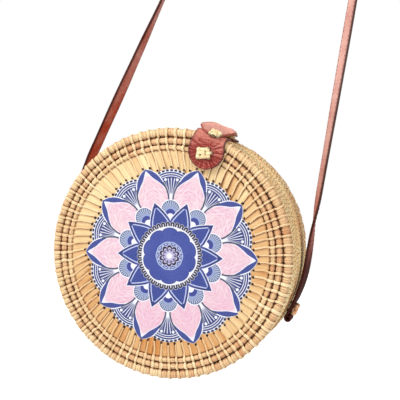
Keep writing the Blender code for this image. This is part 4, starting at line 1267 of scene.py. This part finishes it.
clasp_strip = make("clasp_dish_and_flap", [dish_and_flap()], dish_leather_lit, replaces=["clasp_top_tab", "clasp_flap"])
tuple(in_room(np.array([0, 22.0, 108.7]))[0])
tuple(in_room(np.array([0, 29.5, 108.7]))[0])
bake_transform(clasp_strip)


def back_pad():
    """A strip with round ends, laid over the wall: its width runs along a circle about the bag's axis."""
    start, end, radius, wall = 46.8, 73.7, 5.4, 101.2
    round_end = radius * (1 - np.cos(np.linspace(0.05, np.pi / 2, 16)))
    y = np.concatenate([start + round_end, np.linspace(52.8, 67.7, 12), end - round_end[::-1]])
    past = np.clip(np.maximum(start + radius - y, y - end + radius), 0, None)
    half = np.sqrt(np.clip(radius ** 2 - past ** 2, 0, None))
    path = np.stack([0 * y, y, np.full_like(y, wall)], -1)
    across, outward = lying(len(y))

    def warp(points):
        turn = points[..., 0] / wall
        return np.stack([points[..., 2] * np.sin(turn), points[..., 1], points[..., 2] * np.cos(turn)], -1)

    def emboss(x, row):
        far, turn = np.hypot(x, y[row] - 65.2), np.arctan2(x, y[row] - 65.2)
        return 0.15 * swirl(turn, 23, 2.0) * ease(far, 6, 8)

    return leather_skin(path, outward, across, half, 1.8, None, emboss, tone=0.12, warp=warp, count=33)


make("clasp_back_pad_leather", [back_pad()], clasp_leather, "back_shell", replaces=["clasp_back_tab"])


# Lacing knots: a little plait of three strands over three, its legs and the bar inside

def plaited_knot(name, node, body, centre, right, up, out, depth, shift, plait=None, tall=1.0, material=lace_rattan):
    """Strands along both ways swing over and under each other by a cosine of their place. Two legs go
    down through what the knot holds and end in a bar. plait tells the plait's own centre, right, up and
    out where it sits askew on its leather."""
    skins = []

    def place(frame_of, a, b, h):
        middle, *ways = (np.asarray(v, float) for v in frame_of)
        return middle + np.outer(a, ways[0]) + np.outer(b, ways[1]) + np.outer(h, ways[2])

    own = (centre, right, up, out)
    plait = plait or own
    plait_out = np.asarray(plait[3], float)
    for way, places, reaches, wide, pitch in ((0, (-4.3, -0.1, 4.1), (4.4, 4.5, 4.0), 3.0, 3.1),
                                              (1, (-3.1, 0.1, 3.1), (5.6, 6.3, 5.2), 2.45, 4.3)):
        for k, (offset, reach) in enumerate(zip(places, reaches)):
            along = np.linspace(-reach, reach, 25)
            weave = np.cos(along / pitch * np.pi) * (1 if (k + way) % 2 else -1)
            lift = tall * (1.45 + 0.62 * weave - 1.4 * ease(np.abs(along), reach - 1.4, reach + 0.5))
            along = along + ((0.0, -0.2, -0.7)[k] if way == 0 else (-0.3, 0.9, 0.0)[k]) + chance.normal(0, 0.15)
            drift = offset + 0.3 * np.sin(along * 0.7 + k * 2 + way) + chance.normal(0, 0.15)
            line = place(plait, drift, along, lift) if way == 0 else place(plait, along, drift, lift)
            # painted shade where a strand goes under the others and where its ends go down
            dark = np.clip(-weave, 0, 1) ** 2 * 0.85 + ease(np.abs(along), reach - 1.0, reach + 0.2) * 0.7
            skins.append(strand(line, np.tile(plait_out, (25, 1)), wide * chance.normal(1, 0.08), 0.4 + 0.9 * tall,
                                sides=12, tone=chance.beta(1, 1.8), shade_and_edge=dark, ends=0.7))
    # the shaded leather under the plait
    ring = circle(20)
    pad = [place(plait, 5.9 * w * np.cos(ring), 4.7 * w * np.sin(ring), np.full(20, h))
           for w, h in ((0.6, 0.5), (0.95, 0.35), (1.0, 0.1), (0.9, -0.4))]
    skins.append(skin(np.array(pad), around=True, first=True, last=True, tone=0.9, shade_and_edge=1.1))
    for side in (-4.0, 4.0):
        along = np.linspace(-0.3, -depth - 1.0, 8)
        leg = place(own, np.full(8, side), np.full(8, shift), along)
        skins.append(strand(leg, np.tile(np.asarray(right, float), (8, 1)), 2.2, 2.2, sides=10, flat=2, tone=0.4,
                            shade_and_edge=0.25))
    along = np.linspace(-5.6, 5.6, 14)
    bar = place(own, along, np.full(14, shift), np.full(14, -depth - 1.1))
    skins.append(strand(bar, np.tile(np.asarray(out, float), (14, 1)), 3.2, 1.6, sides=12, tone=0.4, shade_and_edge=0.1))
    return make(name, skins, material, body, replaces=[node])


askew = math.radians(20)
plaited_knot("clasp_face_knot_plait", "clasp_front_knot", "front_shell", (0, -2.1, 85.45), (1, 0, 0), (0, 0, 1),
             (0, -1, 0), 8.9, -0.694,
             plait=((-1.3, -2.3, 85.5), (math.cos(askew), 0, math.sin(askew)), (-math.sin(askew), 0, math.cos(askew)),
                    (0, -1, 0)))
plaited_knot("clasp_rim_knot_plait", "clasp_top_knot", "front_shell", (0, 11.2, 104.2), (1, 0, 0), (0, 1, 0),
             (0, 0, 1), 10.09, 1.9, plait=((1.3, 0.3, 102.2), (0.78, 0, 0), (0, 0.8, 0.46), (0, -0.5, 0.866)))
plaited_knot("clasp_back_knot_plait", "clasp_back_knot", "back_shell", (0, 65.2, 102.1), (1, 0, 0), (0, 1, 0),
             (0, 0, 1), 7.99, 1.3, plait=((-0.8, 65.2, 102.0), (0.6, 0, 0), (0, 0.8, 0), (0, 0, 1)), tall=0.2)


def strap_knot(side, sign):
    """The knot that laces a strap end to the wall, a little below the bag's middle."""
    slope = math.asin(-9.0 / 101.4)
    radial = np.array([sign * math.cos(slope), 0, math.sin(slope)])
    along = np.array([-sign * math.sin(slope), 0, math.cos(slope)])
    middle = radial * 103.1 + (0, strap_depth, 0)
    plaited_knot("strap_knot_plait_" + side, "strap_knot_" + side, "back_shell", middle, along, (0, -sign, 0), radial,
                 8.99, 0.0, plait=(middle + 0.6 * radial, along * 0.74, (0, -sign, 0), radial), tall=1.7,
                 material=strap_lace_rattan)


strap_knot("left", -1)
strap_knot("right", 1)


# Shoulder strap: one band from curled tip to curled tip, drawn in the room's upright plane. Its crown is a
# round arc, from which two straight strands lean outwards to the bag.

strap_wide, strap_thick, strap_line = 14.4, 2.2, 102.1
crown_radius, crown_middle = 30, -28.9
strand_tilt = math.radians(8.4)
bag_middle = 563.2


def hung_point(x, z):
    """A point of the bag's own plane in the room's plane, in millimetres."""
    x, z = np.asarray(x), np.asarray(z)
    c, s = math.cos(hang_tilt), math.sin(hang_tilt)
    return np.stack([c * x + s * z + 5.913, -s * x + c * z - 563.185], -1)


def smoothed(values, reach):
    """The mean of each value and its neighbours up to reach on both sides."""
    count = 2 * reach + 1
    return np.convolve(np.pad(values, reach, "edge"), np.ones(count) / count, "valid")


def strap_half(sign):
    """One side from the curled tip up to the crown: a curl, an arc along the wall, a curve that leaves
    upright on the right and outwards on the left and joins the leaning straight, as a cubic between two
    points and two ways, and a quarter of the round crown."""
    tip = math.asin(-17.2 / 101.4)
    curl = np.linspace(math.pi + tip + math.radians(330), math.pi + tip, 46)
    roll = np.linspace(1.25, 2.3, 46)
    centre = (strap_line + 2.3) * np.array([math.cos(tip), math.sin(tip)])
    wall = np.linspace(tip, math.asin(6 / 101.4), 24)[1:]
    x = np.concatenate([centre[0] + roll * np.cos(curl), strap_line * np.cos(wall)])
    z = np.concatenate([centre[1] + roll * np.sin(curl), strap_line * np.sin(wall)])
    low = hung_point(sign * x, z)
    leave_turn = math.radians(4 if sign > 0 else -21)
    curve_long = 60
    leave = np.array([math.sin(leave_turn), math.cos(leave_turn)]) * curve_long
    way = np.array([-sign * math.sin(strand_tilt), math.cos(strand_tilt)])
    shoulder = np.array([sign * crown_radius * math.cos(strand_tilt),
                         crown_middle + crown_radius * math.sin(strand_tilt)])
    foot = low[-1]
    straight = (shoulder[1] - foot[1]) / math.cos(strand_tilt) - curve_long
    knee = shoulder - way * straight
    t = np.linspace(0, 1, 30)[1:, None]
    curve = ((2 * t ** 3 - 3 * t ** 2 + 1) * foot + (t ** 3 - 2 * t ** 2 + t) * leave
             + (3 * t ** 2 - 2 * t ** 3) * knee + (t ** 3 - t ** 2) * way * curve_long)
    line = knee + way * np.linspace(0, straight, 120)[1:, None]
    turn = np.linspace(strand_tilt, math.pi / 2, 20)[1:]
    crown = np.stack([sign * crown_radius * np.cos(turn), crown_middle + crown_radius * np.sin(turn)], -1)
    whole = np.concatenate([low, curve, line, crown])
    # each strand's own slack, which holds it off the wall, at heights over the bag's middle
    height = whole[:, 1] + bag_middle
    if sign < 0:
        slack = np.interp(height, [4, 14, 28, 42, 64], [0, 2.2, 3.6, 1.6, 0])
    else:
        slack = np.interp(height, [-17, -6, 8, 24, 70, 300, 480, 540], [0.2, 1.1, 1.3, 1.4, 2.1, 2.8, 1.0, 0])
    return whole + np.stack([sign * smoothed(slack, 2), 0 * slack], -1)


def shoulder_strap():
    """The band's skin and its stitches. The band follows both halves' line, turned about it by each
    strand's own twist; its half width and tone are read off the height over the bag's middle."""
    left, right = strap_half(-1), strap_half(1)
    line = np.concatenate([left, right[-2::-1]])
    walked = np.concatenate([[0], np.cumsum(np.linalg.norm(np.diff(line, axis=0), axis=1))])
    total = walked[-1]
    near = np.linspace(0, 40, 61)
    spots = np.concatenate([near, np.linspace(40, total - 40, 720)[1:-1], total - near[::-1]])
    x, z = np.interp(spots, walked, line[:, 0]), np.interp(spots, walked, line[:, 1])
    path = np.stack([x, 0 * x, z], -1)
    way = unit(np.gradient(path, axis=0))
    out = np.stack([-way[:, 2], 0 * x, way[:, 0]], -1)
    # the twist in degrees, at distances along the strap from where each strand leaves the bag
    laced_part = 36.6
    from_left = spots - laced_part
    from_right = total - laced_part - spots
    twist_left = np.interp(from_left, [-20, 0, 50, 76, 104, 131, 145, 158, 171, 185, 300, 400, 520],
                           [0, 8, 9, 8, 6, 0, -1, -7, -10.5, -15, -17, -10, 0])
    twist_right = np.interp(from_right, [-20, 0, 18, 36, 52, 62, 72, 100, 128, 155, 185, 240, 330, 450, 520],
                            [0, 9, 11, 8, 0, -14, -22, -23, -26, -29, -32, -32, -28, -12, 0])
    on_left = spots < total / 2
    twist = np.radians(np.where(on_left, smoothed(twist_left, 7), smoothed(twist_right, 7)))
    side = np.where(on_left, 1.0, -1.0)
    depth = np.tile([0.0, 1.0, 0.0], (len(x), 1))
    outward = out * np.cos(twist)[:, None] + depth * (side * np.sin(twist))[:, None]
    across = depth * np.cos(twist)[:, None] - out * (side * np.sin(twist))[:, None]
    # painted light: the right strand, which faces the lamps, is paler than the left, and both are darker low down
    height = z + bag_middle
    tone = np.where(on_left, np.interp(height, [-20, 60, 120, 180, 260, 560], [0.0, 0.06, 0.16, 0.34, 0.4, 0.35]),
                    np.interp(height, [-20, 20, 60, 110, 200, 300, 560], [-0.2, 0.0, 0.35, 0.75, 0.9, 0.9, 0.5]))
    wave = 0.12 * np.sin(spots * 0.11) + 0.1 * np.sin(spots * 0.047 + 1)

    def bend(across_at, row):
        return -0.18 * (across_at / 7) ** 2

    half = strap_wide / 2 + wave * 0.6 + 0.5 * on_left * ease(height, 60, 100)
    half[:3] = (strap_wide / 2 - 0.6, strap_wide / 2 - 0.2, strap_wide / 2)
    half[-3:] = half[2::-1]
    # painted shade low on both strands and on the curled tips
    painted_shade = np.where(on_left, 0.6 * ease(-height, 0, 20), ease(-height, -60, -15))
    painted_shade = np.maximum(painted_shade, ease(-np.minimum(from_left, from_right), 0, 10))
    band = leather_skin(path, outward, across, half, strap_thick, bend, None, tone=tone[:, None], count=17, painted_shade=painted_shade)

    # saddle stitches along both edges of both faces, each a low arch sunk into the leather
    stitches = []
    run = np.linspace(-1.25, 1.25, 5)
    arch = 0.16 * (1 - (run / 1.25) ** 2)
    for start in np.arange(45, total - 45, 3.9):
        k = np.searchsorted(spots, start)
        for lateral in (-5.0, 5.0):
            for face in (outward[k], -outward[k]):
                centre = path[k] + across[k] * lateral + face * (strap_thick / 2 - 0.14)
                line = centre + run[:, None] * way[k] + arch[:, None] * face
                stitches.append(strand(line, np.tile(face, (5, 1)), 0.75, 0.42, sides=6, ends=0.5))
    return band, stitches


def room_of(points):
    """Points that are already in the room, from millimetres to metres."""
    return points.reshape(-1, 3) * 0.001


def thread_material():
    """Waxed thread: a red and a paler tone, drawn out slantwise along it as its plies are."""
    made, work, shader = shader_of("strap thread", 0.8)
    chart = work.add("ShaderNodeUVMap", uv_map="strand").outputs["UV"]
    twist = work.noise(work.stretched(chart, 60, 30, 0.7), 1.0, 2.0)
    work.tree.links.new(work.mix(twist, shade(96, 34, 28), shade(150, 70, 58)), shader.inputs["Base Color"])
    return made


strap_band, strap_stitches = shoulder_strap()
above = tuple(in_room(np.array([0, strap_depth, 22.0]))[0])
below = tuple(in_room(np.array([0, strap_depth, -3.0]))[0])
strap_object = make("shoulder_strap_leather", [strap_band], strap_leather, placed=room_of,
                    replaces=["shoulder_strap", "strap_end_left", "strap_end_right"])
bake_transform(strap_object)
stitch_object = make("shoulder_strap_stitches", strap_stitches, thread_material(), placed=room_of)
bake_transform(stitch_object)

for node in ("snap_socket", "snap_stud"):
    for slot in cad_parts[node].material_slots:
        slot.material = snap_brass


# Floor, light and camera

def floor_material():
    """White paper. The camera sees it a little brighter than it is lit, so that only shadows show."""
    made, work, shader = shader_of("floor", 0.9)
    shader.inputs["Base Color"].default_value = shade(244, 244, 244)
    rays = work.add("ShaderNodeLightPath")
    shader.inputs["Emission Color"].default_value = (1, 1, 1, 1)
    work.tree.links.new((work.number(rays.outputs["Is Camera Ray"]) * 0.75).socket, shader.inputs["Emission Strength"])
    return made


def quad_object(name, corners, material):
    """One flat quad that belongs to the stage."""
    mesh = bpy.data.meshes.new(name)
    mesh.from_pydata(corners, [], [(0, 1, 2, 3)])
    mesh.materials.append(material)
    made = bpy.data.objects.new(name, mesh)
    bpy.context.scene.collection.objects.link(made)
    return made


floor_at = -1.0
quad_object("floor", [(-3, -3, floor_at), (3, -3, floor_at), (3, 3, floor_at), (-3, 3, floor_at)],
            floor_material())

world = bpy.data.worlds.new("room")
world.use_nodes = True
bpy.context.scene.world = world
air = Work(world.node_tree)
world.node_tree.nodes.clear()
seen = air.add("ShaderNodeLightPath")
lit = air.add("ShaderNodeBackground", {"Color": (1, 1, 1, 1), "Strength": 0.60})
plain_white = air.add("ShaderNodeBackground", {"Color": (1, 1, 1, 1), "Strength": 1.0})
choice = air.add("ShaderNodeMixShader", {0: seen.outputs["Is Camera Ray"]})
world.node_tree.links.new(lit.outputs[0], choice.inputs[1])
world.node_tree.links.new(plain_white.outputs[0], choice.inputs[2])
ending = air.add("ShaderNodeOutputWorld")
world.node_tree.links.new(choice.outputs[0], ending.inputs[0])


def lamp(name, kind, place, target, energy, **settings):
    """A lamp that looks from a place to a target, both in metres."""
    data = bpy.data.lights.new(name, kind)
    data.energy = energy
    for key, value in settings.items():
        setattr(data, key, value)
    made = bpy.data.objects.new(name, data)
    bpy.context.scene.collection.objects.link(made)
    back = unit(np.array(place) - np.array(target))
    side = unit(np.cross((0, 0, 1), back))
    up = np.cross(back, side)
    made.matrix_world = Matrix([(*row, p) for row, p in zip(np.stack([side, up, back], 1).tolist(), place)]
                               + [(0, 0, 0, 1)])
    return made


lit_place = (0.0, -0.02, -0.56)
lamp("key", "AREA", (-0.80, -0.75, 0.25), lit_place, 11.0, size=0.40)
lamp("fill", "AREA", (1.1, -0.7, 0.2), lit_place, 4.5, size=0.8)
lamp("front", "AREA", (0.1, -1.6, -0.45), lit_place, 2.0, size=1.2)

# The camera's right, up and back ways and its place, in the bag's own frame, as fitted to the photo
camera_data = bpy.data.cameras.new("camera")
camera_data.lens = 70.73
camera_data.sensor_width = 36.0
camera_data.clip_start = 0.01
camera = bpy.data.objects.new("camera", camera_data)
bpy.context.scene.collection.objects.link(camera)
camera_axes = np.array([(0.89362, 0.26910, 0.35920), (-0.37791, 0.01940, 0.92564), (0.24212, -0.96292, 0.11903)])
turned_axes = camera_axes @ hang_turn.T
camera_place = in_room(np.array([158.282, -593.869, 123.465]))[0]
camera.matrix_world = Matrix([(*column, p) for column, p in zip(turned_axes.T.tolist(), camera_place.tolist())]
                             + [(0, 0, 0, 1)])
bpy.context.scene.camera = camera
bpy.context.scene.view_settings.view_transform = "Standard"
